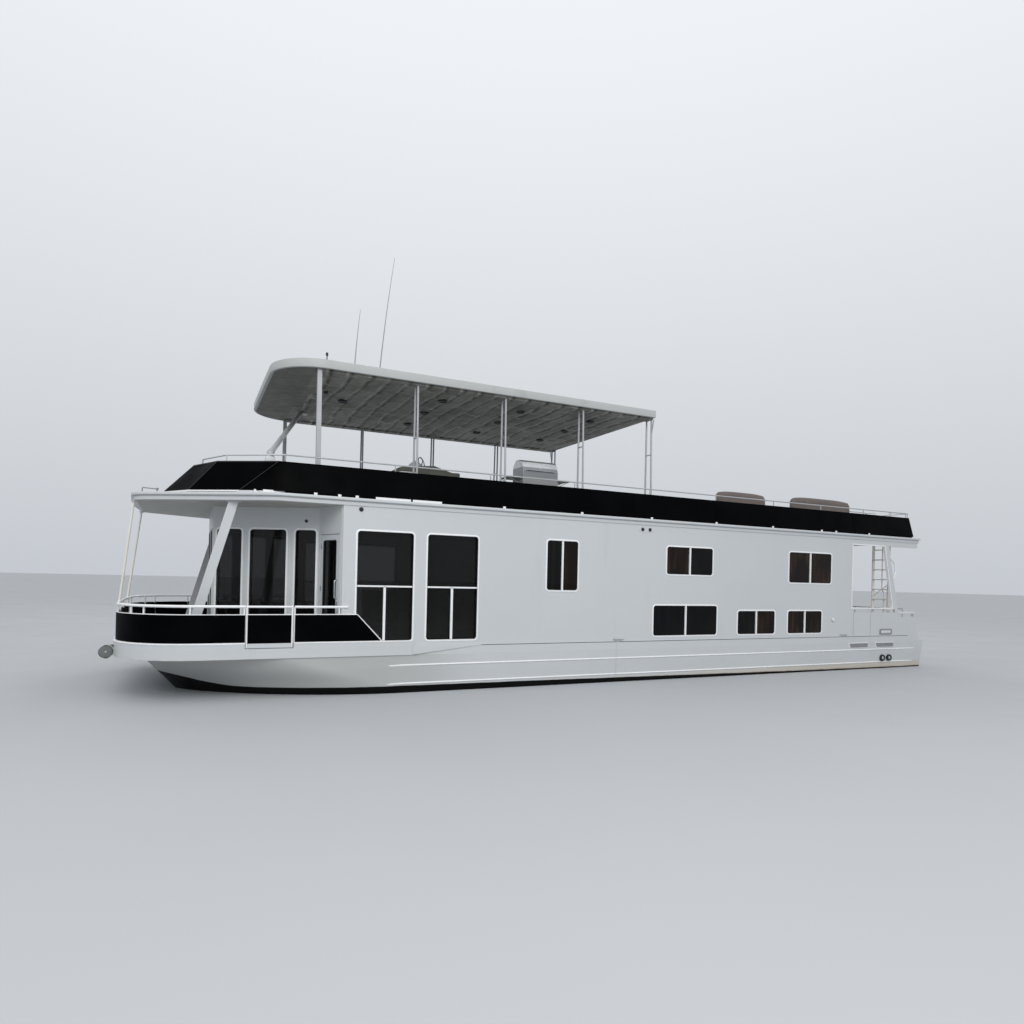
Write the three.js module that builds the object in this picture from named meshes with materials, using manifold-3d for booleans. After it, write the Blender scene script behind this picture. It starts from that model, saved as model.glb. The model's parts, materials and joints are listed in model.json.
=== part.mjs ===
// A houseboat as an assembly of separate pieces, in millimetres, +Z up.
// +X points to the bow, +Y to port, and z = 0 is the waterline.
// Places along the hull are stations: millimetres aft of station zero, near the stem.

import * as THREE from 'three';
import { mergeVertices } from 'three/addons/utils/BufferGeometryUtils.js';
import Module from 'manifold-3d';

const wasm = await Module();
wasm.setup();

// Driving dimensions
const STATION_ZERO_X = 9000;
const HALF_BEAM = 3000;
const DECK_Z = 900;
const HULL_TOP_Z = 725;
const PLATFORM_Z = 760;
const ROOF_LOW_Z = 3500;
const ROOF_TOP_Z = 3640;
const GAP = 0.3;

const WALL = 60;
const CABIN_FRONT_STATION = 2640;
const CABIN_AFT_STATION = 16140;
const ROOF_AFT_STATION = 18940;
const MAIN_DECK_AFT_STATION = 18450;
const HULL_AFT_STATION = 19100;

const TOE_TOP_Z = 990;
const SKIRT_TOP_Z = 1500;
const RAIL_Z = 1630;
const SKIRT_FACE_Y = 3030;
const SKIRT_THICK = 20;
const RAIL_RADIUS = 19;
const GATE_FRONT_STATION = 1005;
const GATE_AFT_STATION = 1790;

const COAMING_LOW_Z = 3680;
const COAMING_TOP_Z = 4210;
const UPPER_RAIL_Z = 4350;

const CANOPY_LOW_Z = 6080;
const CANOPY_TOP_Z = 6250;
const CANOPY_HALF = 2550;
const CANOPY_AFT_STATION = 9960;
const FRAMES = [2250, 4180, 6120, 8040, 9915];
const FRAME_Y = 2480;

const DOOR_TOP_Z = 2970;
const DOOR_THICK = 45;
const PIVOT_RADIUS = 6;
const PIVOT_INSET = 12;

const station = (aft) => STATION_ZERO_X - aft;

// Materials
const paint = (color, roughness, metalness) =>
  new THREE.MeshStandardMaterial({ color, roughness, metalness });
const WHITE = paint(0xd6dade, 0.38, 0.1);
const BLACK = paint(0x0b0c0e, 0.55, 0.0);
const GLASS = paint(0x14181a, 0.08, 0.0);
const CANOPY_WHITE = paint(0xbfc2b8, 0.6, 0.0);
const STEEL = paint(0xb9bcbe, 0.25, 0.9);
const GREY = paint(0x73777a, 0.6, 0.1);
const RUBBER = paint(0x3c4040, 0.85, 0.0);
const CUSHION = paint(0x6b5546, 0.9, 0.0);
const BRONZE = paint(0x3a3d40, 0.35, 0.8);

// Joining and cutting
function solid(geometry) {
  const bare = geometry.clone();
  bare.deleteAttribute('normal');
  bare.deleteAttribute('uv');
  const merged = mergeVertices(bare, 1e-3);
  return new wasm.Manifold(new wasm.Mesh({
    numProp: 3,
    vertProperties: new Float32Array(merged.attributes.position.array),
    triVerts: new Uint32Array(merged.index.array),
  }));
}

function geometryOf(body) {
  const mesh = body.getMesh();
  const geometry = new THREE.BufferGeometry();
  const positions = new Float32Array(mesh.vertProperties);
  geometry.setAttribute('position', new THREE.BufferAttribute(positions, 3));
  geometry.setIndex(new THREE.BufferAttribute(new Uint32Array(mesh.triVerts), 1));
  return geometry;
}

const join = (...pieces) => geometryOf(pieces.map(solid).reduce((all, piece) => all.add(piece)));
const cut = (base, ...tools) =>
  geometryOf(tools.map(solid).reduce((rest, tool) => rest.subtract(tool), solid(base)));

// Basic shapes, placed in the boat's own axes
function box(x0, x1, y0, y1, z0, z1) {
  const geometry = new THREE.BoxGeometry(Math.abs(x1 - x0), Math.abs(y1 - y0), Math.abs(z1 - z0));
  return geometry.translate((x0 + x1) / 2, (y0 + y1) / 2, (z0 + z1) / 2);
}

function rod(from, to, radius, sides = 8) {
  const a = new THREE.Vector3(...from);
  const b = new THREE.Vector3(...to);
  const geometry = new THREE.CylinderGeometry(radius, radius, a.distanceTo(b), sides);
  const up = new THREE.Vector3(0, 1, 0);
  const turn = new THREE.Quaternion().setFromUnitVectors(up, b.clone().sub(a).normalize());
  geometry.applyQuaternion(turn);
  return geometry.translate((a.x + b.x) / 2, (a.y + b.y) / 2, (a.z + b.z) / 2);
}

function beam(from, to, width, depth) {
  const a = new THREE.Vector3(...from);
  const b = new THREE.Vector3(...to);
  const along = b.clone().sub(a);
  const geometry = new THREE.BoxGeometry(width, depth, along.length());
  const z = along.normalize();
  const y = new THREE.Vector3(0, 1, 0);
  const x = new THREE.Vector3().crossVectors(y, z).normalize();
  y.crossVectors(z, x);
  geometry.applyMatrix4(new THREE.Matrix4().makeBasis(x, y, z));
  return geometry.translate((a.x + b.x) / 2, (a.y + b.y) / 2, (a.z + b.z) / 2);
}

// A pipe through points, with a round section
function pipe(points, radius, sides = 6, steps = 24) {
  const along = points.map((point) => new THREE.Vector3(...point));
  const path = new THREE.CatmullRomCurve3(along, false, 'centripetal');
  const section = new THREE.Shape();
  for (let i = 0; i < sides; i += 1) {
    const angle = (i / sides) * 2 * Math.PI;
    const x = radius * Math.cos(angle);
    const y = radius * Math.sin(angle);
    if (i === 0) section.moveTo(x, y);
    else section.lineTo(x, y);
  }
  return new THREE.ExtrudeGeometry(section, { steps, extrudePath: path, bevelEnabled: false });
}

// A flat plan outline, raised from one height to another
function prism(outline, z0, z1) {
  const shape = new THREE.Shape(outline.map(([x, y]) => new THREE.Vector2(x, y)));
  const geometry = new THREE.ExtrudeGeometry(shape, { depth: z1 - z0, bevelEnabled: false });
  return geometry.translate(0, 0, z0);
}

// A panel drawn flat, with its outline's points as [x, y], and its holes cut right through
function flatPanel(outline, holes, thick) {
  const panel = prism(outline, 0, thick);
  if (holes.length === 0) return panel;
  return cut(panel, ...holes.map((hole) => prism(hole, -50, thick + 50)));
}

// An upright panel drawn in stations and heights, between two widths, with holes
function sidePanel(outline, holes, y0, y1) {
  const flip = (points) => points.map(([s, z]) => [station(s), z]);
  const geometry = flatPanel(flip(outline), holes.map(flip), Math.abs(y1 - y0));
  geometry.rotateX(Math.PI / 2);
  return geometry.translate(0, Math.max(y0, y1), 0);
}

// A rectangle with round corners in stations and heights
function windowHole(s0, s1, z0, z1, radius = 60, arcs = 3) {
  if (radius === 0) return [[s0, z0], [s1, z0], [s1, z1], [s0, z1]];
  const points = [];
  const corners = [
    [s1 - radius, z0 + radius, -1],
    [s1 - radius, z1 - radius, 0],
    [s0 + radius, z1 - radius, 1],
    [s0 + radius, z0 + radius, 2],
  ];
  for (const [s, z, quarter] of corners) {
    for (let i = 0; i <= arcs; i += 1) {
      const angle = (quarter + i / arcs) * Math.PI / 2;
      points.push([s + radius * Math.cos(angle), z + radius * Math.sin(angle)]);
    }
  }
  return points;
}

// Round off the corners of an outline: each point is [x, y, radius]
function rounded(points, arcs = 6) {
  const result = [];
  const count = points.length;
  for (let i = 0; i < count; i += 1) {
    const [x, y, radius = 0] = points[i];
    const here = new THREE.Vector2(x, y);
    if (radius === 0) {
      result.push([x, y]);
      continue;
    }
    const towards = (k) => {
      const [nextX, nextY] = points[k % count];
      return new THREE.Vector2(nextX, nextY).sub(here).normalize();
    };
    const before = towards(i + count - 1);
    const after = towards(i + 1);
    const half = Math.acos(THREE.MathUtils.clamp(before.dot(after), -1, 1)) / 2;
    const centre = here.clone().add(
      before.clone().add(after).normalize().multiplyScalar(radius / Math.sin(half)));
    const first = here.clone().add(before.multiplyScalar(radius / Math.tan(half))).sub(centre);
    const last = here.clone().add(after.multiplyScalar(radius / Math.tan(half))).sub(centre);
    const sweep = Math.atan2(first.cross(last), first.dot(last));
    for (let k = 0; k <= arcs; k += 1) {
      const turned = first.clone().rotateAround(new THREE.Vector2(), (sweep * k) / arcs);
      result.push([centre.x + turned.x, centre.y + turned.y]);
    }
  }
  return result;
}

// A whole outline from its port half, listed from the bow to the stern in stations
function wholePlan(half, arcs = 6) {
  const port = half.map(([s, y, radius = 0]) => [station(s), y, radius]);
  const starboard = port.filter(([, y]) => y > 0).map(([x, y, radius]) => [x, -y, radius]).reverse();
  return rounded([...port, ...starboard], arcs);
}

// A thin wall between a lower and an upper line of points, thickened to the left of its run
function ribbon(lower, upper, thick) {
  const count = lower.length;
  const inward = lower.map((point, i) => {
    const a = lower[Math.max(i - 1, 0)];
    const b = lower[Math.min(i + 1, count - 1)];
    const side = new THREE.Vector2(b[0] - a[0], b[1] - a[1]).normalize();
    return [-side.y * thick, side.x * thick];
  });
  const moved = (line) => line.map(([x, y, z], i) => [x + inward[i][0], y + inward[i][1], z]);
  const rings = [lower, upper, moved(upper), moved(lower)];
  const positions = rings.flat(2);
  const index = [];
  const at = (ring, i) => (ring % 4) * count + i;
  for (let ring = 0; ring < 4; ring += 1) {
    for (let i = 0; i < count - 1; i += 1) {
      index.push(at(ring, i), at(ring, i + 1), at(ring + 1, i + 1));
      index.push(at(ring, i), at(ring + 1, i + 1), at(ring + 1, i));
    }
  }
  const last = count - 1;
  index.push(at(0, 0), at(1, 0), at(2, 0), at(0, 0), at(2, 0), at(3, 0));
  index.push(at(0, last), at(2, last), at(1, last), at(0, last), at(3, last), at(2, last));
  return closed(positions, index);
}

// A closed body whose faces are turned to point out
function closed(positions, index) {
  const geometry = new THREE.BufferGeometry();
  geometry.setAttribute('position', new THREE.Float32BufferAttribute(positions, 3));
  const corner = (i) => new THREE.Vector3().fromArray(positions, 3 * i);
  let volume = 0;
  for (let i = 0; i < index.length; i += 3) {
    volume += corner(index[i]).dot(corner(index[i + 1]).cross(corner(index[i + 2])));
  }
  geometry.setIndex(volume > 0 ? index : index.slice().reverse());
  return geometry;
}

// A loft through flat outlines that all have as many points
function loft(outlines) {
  const count = outlines[0].length;
  const positions = outlines.flat(2);
  const index = [];
  for (let level = 0; level < outlines.length - 1; level += 1) {
    for (let i = 0; i < count; i += 1) {
      const a = level * count + i;
      const b = level * count + ((i + 1) % count);
      index.push(a, b, b + count, a, b + count, a + count);
    }
  }
  const top = (outlines.length - 1) * count;
  for (let i = 1; i < count - 1; i += 1) {
    index.push(0, i + 1, i);
    index.push(top, top + i, top + i + 1);
  }
  return closed(positions, index);
}

// Scene graph
const houseboat = new THREE.Group();

function add(name, geometry, material) {
  const mesh = new THREE.Mesh(geometry, material);
  mesh.name = name;
  houseboat.add(mesh);
  return mesh;
}

const SIDES = [
  { side: 'port', sign: 1 },
  { side: 'starboard', sign: -1 },
];

const mirrored = (geometry, sign) => {
  if (sign > 0) return geometry;
  const flipped = geometry.index ? geometry.toNonIndexed() : geometry.clone();
  const position = flipped.attributes.position;
  for (let i = 0; i < position.count; i += 3) {
    const first = [position.getX(i), position.getY(i), position.getZ(i)];
    const second = [position.getX(i + 1), position.getY(i + 1), position.getZ(i + 1)];
    const third = [position.getX(i + 2), position.getY(i + 2), position.getZ(i + 2)];
    position.setXYZ(i, first[0], -first[1], first[2]);
    position.setXYZ(i + 1, third[0], -third[1], third[2]);
    position.setXYZ(i + 2, second[0], -second[1], second[2]);
  }
  flipped.deleteAttribute('normal');
  flipped.deleteAttribute('uv');
  return mergeVertices(flipped, 1e-3);
};

function addBoth(name, makePort, material) {
  for (const { side, sign } of SIDES) add(`${side}_${name}`, mirrored(makePort(), sign), material);
}

// Hull: each slice has its height, half breadth, half the flat bow, nose station, bow length,
// fullness and transom
const HULL_SLICES = [
  { z: -500, half: 700, flat: 40, nose: 2200, bow: 3500, full: 0.70, transom: 18900 },
  { z: -370, half: 2150, flat: 300, nose: 1200, bow: 4200, full: 0.65, transom: 18950 },
  { z: -200, half: 2930, flat: 800, nose: 420, bow: 4200, full: 0.72, transom: 19000 },
  { z: 0, half: 2990, flat: 1070, nose: -80, bow: 4000, full: 0.78, transom: 19040 },
  { z: 250, half: 3010, flat: 1130, nose: -300, bow: 3600, full: 0.76, transom: 19060 },
  { z: 480, half: 3030, flat: 1200, nose: -507, bow: 3000, full: 0.74, transom: 19080 },
  { z: HULL_TOP_Z, half: 3040, flat: 1270, nose: -725, bow: 2500, full: 0.72, transom: HULL_AFT_STATION },
];
const BOW_STEPS = 10;

function hullSlice({ z, half, flat, nose, bow, full, transom }) {
  const port = [[station(nose), 0, z]];
  for (let i = 0; i <= BOW_STEPS; i += 1) {
    const angle = (i / BOW_STEPS) * (Math.PI / 2);
    const along = 1 - Math.cos(angle);
    const width = flat + (half - flat) * Math.pow(Math.sin(angle), 2 * full);
    port.push([station(nose + bow * along), width, z]);
  }
  port.push([station(transom), half, z]);
  const starboard = port.slice(1).map(([x, y]) => [x, -y, z]).reverse();
  return [...port, ...starboard];
}

// Drive lugs on the transom carry the drives' upright pins
const DRIVE_Y = 1000;
const DRIVE_PIN_STATION = 19200;
const LUG_TOP_Z = 130;
const LUG_LOW_Z = -60;

function driveLugs(sign) {
  const y0 = sign * DRIVE_Y - 70;
  const y1 = sign * DRIVE_Y + 70;
  const x0 = station(18900);
  const x1 = station(DRIVE_PIN_STATION + 60);
  return [
    box(x0, x1, y0, y1, LUG_TOP_Z, LUG_TOP_Z + 35),
    box(x0, x1, y0, y1, LUG_LOW_Z - 35, LUG_LOW_Z),
  ];
}

function hull() {
  return join(loft(HULL_SLICES.map(hullSlice)), ...driveLugs(1), ...driveLugs(-1));
}
add('hull', hull(), WHITE);

// Main deck with its white edge band and toe rail round the bow
const BAND_Y = 3060;
const BAND_AFT_STATION = 4000;
const BOW_NOSE_STATION = -1110;
const BOW_CORNER_STATION = -1040;
const BOW_CORNER_RADIUS = 1300;
const ROLLER_Y = 1950;
const ROLLER_STATION = -1165;
const ROLLER_Z = 800;
const ROLLER_RADIUS = 108;
const ROLLER_GUARD = 130;
const ROLLER_WIDE = 80;

function bowPlan(inset, aft, arcs = 8) {
  return wholePlan([
    [BOW_NOSE_STATION + inset, 0],
    [BOW_CORNER_STATION + inset, BAND_Y - inset, BOW_CORNER_RADIUS - inset],
    [aft, BAND_Y - inset],
  ], arcs);
}

function rollerBracket(sign) {
  const inner = sign * (ROLLER_Y - ROLLER_WIDE / 2 - 4);
  const cheek = sign * (ROLLER_Y - ROLLER_WIDE / 2 - 24);
  const outer = sign * (ROLLER_Y + ROLLER_WIDE / 2);
  const x0 = station(-940);
  const x1 = station(ROLLER_STATION - 30);
  const upper = ROLLER_Z + ROLLER_GUARD - 8;
  const lower = ROLLER_Z - ROLLER_GUARD + 8;
  const along = (y, reach = 0) => [station(ROLLER_STATION), y + Math.sign(y) * reach, ROLLER_Z];
  const guard = cut(rod(along(cheek), along(outer), ROLLER_GUARD, 28),
    rod(along(cheek, -100), along(outer, 100), ROLLER_GUARD - 12, 28));
  return [
    guard,
    box(x0, x1, inner, cheek, HULL_TOP_Z + 5, upper),
    box(station(ROLLER_STATION + 30), x1, inner, cheek, lower - 15, upper),
    box(x0, station(ROLLER_STATION + 40), cheek, outer, upper, upper + 15),
    rod([station(ROLLER_STATION), inner, ROLLER_Z], [station(ROLLER_STATION), outer, ROLLER_Z], 14),
  ];
}

function mainDeck() {
  const forward = prism(bowPlan(0, BAND_AFT_STATION), HULL_TOP_Z + GAP, TOE_TOP_Z);
  const well = prism(bowPlan(52, BAND_AFT_STATION + 100), DECK_Z, TOE_TOP_Z + 50);
  const aft = box(station(BAND_AFT_STATION - 200), station(MAIN_DECK_AFT_STATION), -3040, 3040,
    HULL_TOP_Z + GAP, DECK_Z);
  const gateGap = box(station(GATE_FRONT_STATION - 12), station(GATE_AFT_STATION + 12), -3200, 3200,
    DECK_Z, TOE_TOP_Z + 50);
  const notches = [1, -1].map((sign) => box(station(-1400), station(-1020),
    sign * (ROLLER_Y - ROLLER_WIDE / 2 - 12), sign * (ROLLER_Y + ROLLER_WIDE / 2 + 12),
    HULL_TOP_Z - 50, ROLLER_Z + ROLLER_GUARD + 12));
  const deck = cut(join(cut(forward, well), aft), gateGap, ...notches);
  return join(deck, ...rollerBracket(1), ...rollerBracket(-1));
}
add('main_deck', mainDeck(), WHITE);

function bowRoller() {
  const y0 = ROLLER_Y - ROLLER_WIDE / 2;
  const y1 = ROLLER_Y + ROLLER_WIDE / 2 - 5;
  const x = station(ROLLER_STATION);
  return cut(rod([x, y0, ROLLER_Z], [x, y1, ROLLER_Z], ROLLER_RADIUS, 24),
    rod([x, y0 - 5, ROLLER_Z], [x, y1 + 5, ROLLER_Z], 14.8, 12));
}
addBoth('bow_roller', bowRoller, RUBBER);

// Fore deck railing: black skirt panels below a pipe rail
function skirtLine(z, from, to) {
  const plan = bowPlan(BAND_Y - SKIRT_FACE_Y, 6000, 8).filter(([x]) => x > station(from) + 1);
  const port = plan.filter(([, y]) => y >= 0);
  const starboard = plan.filter(([, y]) => y < 0);
  const ahead = [...starboard, ...port];
  const ends = [[station(to), SKIRT_FACE_Y], [station(to), -SKIRT_FACE_Y]];
  return [ends[1], ...ahead, ends[0]].map(([x, y]) => [x, y, z]);
}

function upright(s, y, z0, z1, size = 32) {
  const x = station(s);
  return box(x - size / 2, x + size / 2, y - size / 2, y + size / 2, z0, z1);
}

// Upright posts stand just inside the skirt, and two of them carry the bow posts
const RAIL_POST_Y = SKIRT_FACE_Y - 34;
const BOW_POST = { foot: [-1040, 1050], head: [-830, 1300], radius: 23 };
const BOW_POST_LOW_Z = RAIL_Z + 24;

function bowRail() {
  const end = GATE_FRONT_STATION - 12;
  const lower = skirtLine(TOE_TOP_Z + GAP, end - 30, end);
  const upper = lower.map(([x, y]) => [x, y, SKIRT_TOP_Z]);
  const railLine = lower.map(([x, y]) => [x > STATION_ZERO_X ? x - 14 : x, y * 0.99, RAIL_Z]);
  const places = [[end - 16, RAIL_POST_Y], [130, RAIL_POST_Y], [-570, 2679], [-770, 2447], [-1009, 1700]];
  const posts = [];
  for (const sign of [1, -1]) {
    for (const [s, y] of places) posts.push(upright(s, sign * y, TOE_TOP_Z + GAP, RAIL_Z));
    posts.push(upright(-1024, sign * BOW_POST.foot[1], TOE_TOP_Z + GAP, RAIL_Z));
    posts.push(upright(BOW_POST.foot[0], sign * BOW_POST.foot[1], RAIL_Z - 10, BOW_POST_LOW_Z, 56));
  }
  return join(ribbon(lower, upper, SKIRT_THICK), pipe(railLine, RAIL_RADIUS, 6, 40), ...posts);
}
add('bow_rail', bowRail(), BLACK);

function gate() {
  const y0 = SKIRT_FACE_Y - 30;
  const s0 = GATE_FRONT_STATION;
  const s1 = GATE_AFT_STATION;
  const x0 = station(s0);
  const x1 = station(s1);
  const pivot = [x0 - PIVOT_INSET, y0 + 8];
  return join(
    box(x0, x1, y0 + 5, SKIRT_FACE_Y, DECK_Z + 12, SKIRT_TOP_Z),
    box(x0, x0 - 30, y0, SKIRT_FACE_Y, DECK_Z + 12, RAIL_Z + 18),
    box(x1 + 30, x1, y0, SKIRT_FACE_Y, DECK_Z + 12, RAIL_Z + 18),
    rod([x0 - 5, y0 + 15, RAIL_Z], [x1 + 5, y0 + 15, RAIL_Z], 15),
    rod([...pivot, DECK_Z + GAP], [...pivot, DECK_Z + 30], PIVOT_RADIUS),
  );
}
addBoth('gate', gate, BLACK);

const RAIL_END_STATION = 2930;
const DIAGONAL_END_STATION = 3400;

function sideRail() {
  const s0 = GATE_AFT_STATION + 12;
  const y0 = SKIRT_FACE_Y - SKIRT_THICK;
  const outline = [
    [s0, TOE_TOP_Z + GAP],
    [DIAGONAL_END_STATION, TOE_TOP_Z + GAP],
    [RAIL_END_STATION, SKIRT_TOP_Z],
    [s0, SKIRT_TOP_Z],
  ];
  return join(
    sidePanel(outline, [], y0, SKIRT_FACE_Y),
    upright(s0 + 16, RAIL_POST_Y, TOE_TOP_Z + GAP, RAIL_Z),
    upright(CABIN_FRONT_STATION - 40, RAIL_POST_Y, TOE_TOP_Z + GAP, RAIL_Z),
    rod([station(s0 + 16), RAIL_POST_Y, RAIL_Z],
      [station(CABIN_FRONT_STATION - 30), RAIL_POST_Y, RAIL_Z], RAIL_RADIUS),
  );
}
addBoth('side_rail', sideRail, BLACK);

// Porch pillars and bow posts carry the roof's front overhang
const PILLAR_Y = 2400;

function porchPillar() {
  const outline = [
    [0, DECK_Z + GAP], [165, DECK_Z + GAP],
    [885, ROOF_LOW_Z - GAP], [720, ROOF_LOW_Z - GAP],
  ];
  return sidePanel(outline, [], PILLAR_Y - 45, PILLAR_Y + 45);
}
addBoth('porch_pillar', porchPillar, WHITE);

function bowPost() {
  const ring = ([s, y], z) => [0, 1, 2, 3, 4, 5, 6, 7].map((i) => {
    const angle = (i + 0.5) * Math.PI / 4;
    return [station(s) + BOW_POST.radius * Math.cos(angle), y + BOW_POST.radius * Math.sin(angle), z];
  });
  return loft([ring(BOW_POST.foot, BOW_POST_LOW_Z + GAP), ring(BOW_POST.head, ROOF_LOW_Z - GAP)]);
}
addBoth('bow_post', bowPost, WHITE);

// Side walls, in one piece each from the cabin front to the stern bulwark
// Each window is: fore and aft station, sill and head height
const SIDE_WINDOWS = [
  [2905, 3985, 995, 3045],
  [4265, 5322, 1000, 3042],
  [6890, 7640, 2000, 3050],
  [9660, 11520, 1000, 1690],
  [10010, 11360, 2410, 3045],
  [12180, 13400, 1000, 1570],
  [13850, 15060, 1000, 1570],
  [13860, 15380, 2290, 3065],
];
const SAFETY_BAR_Z = 2022;

function sideWall() {
  const outline = [
    [CABIN_FRONT_STATION, DECK_Z + GAP],
    [MAIN_DECK_AFT_STATION + GAP, DECK_Z + GAP],
    [MAIN_DECK_AFT_STATION + GAP, PLATFORM_Z + GAP],
    [18980, PLATFORM_Z + GAP],
    [18795, 1530],
    [18085, 1530],
    [17645, 3360],
    [18845, 3360],
    [18845, ROOF_LOW_Z - GAP],
    [CABIN_FRONT_STATION, ROOF_LOW_Z - GAP],
  ];
  const opening = [[16200, 1654], [17850, 1654], [17470, 3360], [16200, 3360]];
  const slot = [[16250, 1533], [17965, 1533], [17948, 1614], [16250, 1614]];
  const aftSlot = [[18124, 1414], [18752, 1414], [18735, 1488], [18124, 1488]];
  const holes = SIDE_WINDOWS.map(([s0, s1, z0, z1]) => windowHole(s0, s1, z0, z1));
  const panel = sidePanel(outline, [...holes, opening, slot, aftSlot], HALF_BEAM - WALL, HALF_BEAM);
  const bars = SIDE_WINDOWS.slice(0, 2).flatMap(([s0, s1, z0]) => {
    const y = HALF_BEAM - 20;
    const middle = (s0 + s1) / 2;
    return [
      rod([station(s0 - 20), y, SAFETY_BAR_Z], [station(s1 + 20), y, SAFETY_BAR_Z], 14),
      rod([station(middle), y, z0 - 20], [station(middle), y, SAFETY_BAR_Z], 12),
    ];
  });
  return join(panel, ...bars);
}
addBoth('side_wall', sideWall, WHITE);

// Cabin front: a door wall at each corner, an angled window wall, and a flat front
// Corners in plan: station and half breadth of the outer face
const FRONT_CORNERS = [
  [CABIN_FRONT_STATION, HALF_BEAM - 1],
  [2360, 2140],
  [520, 1080],
];

// A wall panel between two plan points, with its ends mitred, and its windows and doors cut
function wallPanel(a, b, trimA, trimB, holes) {
  const from = new THREE.Vector2(station(a[0]), a[1]);
  const to = new THREE.Vector2(station(b[0]), b[1]);
  const length = from.distanceTo(to);
  const outline = windowHole(GAP, length - GAP, DECK_Z + GAP, ROOF_LOW_Z - GAP, 0);
  const panel = flatPanel(outline, holes.map((hole) => windowHole(...hole)), WALL);
  // The drawing's x runs along the wall and its y is height, and the depth goes into the cabin
  const along = to.clone().sub(from).normalize();
  const x = new THREE.Vector3(along.x, along.y, 0);
  const z = new THREE.Vector3(0, 0, 1);
  const into = new THREE.Vector3().crossVectors(x, z);
  panel.applyMatrix4(new THREE.Matrix4().makeBasis(x, z, into));
  panel.translate(from.x, from.y, 0);
  return cut(panel, ...mitre(from, along, -trimA, false), ...mitre(to, along, trimB, true));
}

// A wedge that cuts a wall's end on the line which halves the corner
function mitre(corner, along, angle, atEnd) {
  if (angle === 0) return [];
  const reach = 400;
  const tool = box(0, reach, -reach, reach, DECK_Z - 100, ROOF_LOW_Z + 100);
  tool.translate(atEnd ? -GAP : -reach + GAP, 0, 0);
  tool.rotateZ(Math.atan2(along.y, along.x) + angle);
  tool.translate(corner.x, corner.y, 0);
  return [tool];
}

function turnBetween(p, q, r) {
  const a = Math.atan2(q[1] - p[1], station(q[0]) - station(p[0]));
  const b = Math.atan2(r[1] - q[1], station(r[0]) - station(q[0]));
  return (b - a) / 2;
}
const FRONT_MIRROR = [520, -1080];
const TURN_1 = turnBetween(FRONT_CORNERS[0], FRONT_CORNERS[1], FRONT_CORNERS[2]);
const TURN_2 = turnBetween(FRONT_CORNERS[1], FRONT_CORNERS[2], FRONT_MIRROR);
const DOOR_FROM = 130;
const DOOR_TO = 830;

function doorWall() {
  const opening = [DOOR_FROM - 8, DOOR_TO + 8, DECK_Z + 8, DOOR_TOP_Z + 8, 0];
  const panel = wallPanel(FRONT_CORNERS[0], FRONT_CORNERS[1], 0, TURN_1, [opening]);
  const sideTrim = box(station(CABIN_FRONT_STATION) - 300, station(CABIN_FRONT_STATION) + 300,
    HALF_BEAM - WALL - GAP, HALF_BEAM + 200, 0, 4000);
  return cut(panel, sideTrim);
}
addBoth('door_wall', doorWall, WHITE);

function windowWall() {
  const holes = [
    [60, 470, 1020, 3070],
    [650, 1376, 1020, 3070],
    [1540, 2040, 1020, 3070],
  ];
  return wallPanel(FRONT_CORNERS[1], FRONT_CORNERS[2], TURN_1, TURN_2, holes);
}
addBoth('window_wall', windowWall, WHITE);

function frontWall() {
  const holes = [[120, 1020, 1020, 3070], [1140, 2040, 1020, 3070]];
  return wallPanel(FRONT_CORNERS[2], FRONT_MIRROR, TURN_2, TURN_2, holes);
}
add('front_wall', frontWall(), WHITE);

// Front doors, hinged at their inboard edge and swinging out over the fore deck
function frontDoor() {
  const [a, b] = FRONT_CORNERS;
  const from = new THREE.Vector2(station(a[0]), a[1]);
  const to = new THREE.Vector2(station(b[0]), b[1]);
  const along = to.clone().sub(from).normalize();
  const leaf = windowHole(DOOR_FROM, DOOR_TO, DECK_Z + 16, DOOR_TOP_Z, 0);
  const hole = windowHole(DOOR_FROM + 110, DOOR_TO - 110, DECK_Z + 200, DOOR_TOP_Z - 110, 40);
  const pane = box(DOOR_FROM + 90, DOOR_TO - 90, DECK_Z + 180, DOOR_TOP_Z - 90, 18, 26);
  const pin = DOOR_TO - PIVOT_INSET;
  const pivot = box(pin - 5, pin + 5, DECK_Z + 8 + GAP, DECK_Z + 30, 3, 13);
  const panel = join(flatPanel(leaf, [hole], DOOR_THICK), pane, pivot);
  const x = new THREE.Vector3(along.x, along.y, 0);
  const z = new THREE.Vector3(0, 0, 1);
  const into = new THREE.Vector3().crossVectors(x, z);
  panel.applyMatrix4(new THREE.Matrix4().makeBasis(x, z, into));
  return panel.translate(from.x, from.y, 0);
}
addBoth('front_door', frontDoor, WHITE);

// Aft wall of the cabin, with a glazed door on the centreline
const AFT_DOOR_HALF = 375;

function crossPanel(outline, holes, s0, s1) {
  const geometry = flatPanel(outline, holes, s1 - s0);
  geometry.rotateX(Math.PI / 2);
  geometry.rotateZ(Math.PI / 2);
  return geometry.translate(station(s1), 0, 0);
}

function aftWall() {
  const edge = HALF_BEAM - WALL - GAP;
  const outline = [
    [-edge, DECK_Z + GAP], [edge, DECK_Z + GAP], [edge, ROOF_LOW_Z - GAP], [-edge, ROOF_LOW_Z - GAP],
  ];
  const half = AFT_DOOR_HALF + 8;
  const holes = [
    windowHole(-half, half, DECK_Z + 8, DOOR_TOP_Z + 8, 0),
    windowHole(800, 1900, 1900, 2970),
    windowHole(-1900, -800, 1900, 2970),
  ];
  return crossPanel(outline, holes, CABIN_AFT_STATION, CABIN_AFT_STATION + WALL);
}
add('aft_wall', aftWall(), WHITE);

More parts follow.
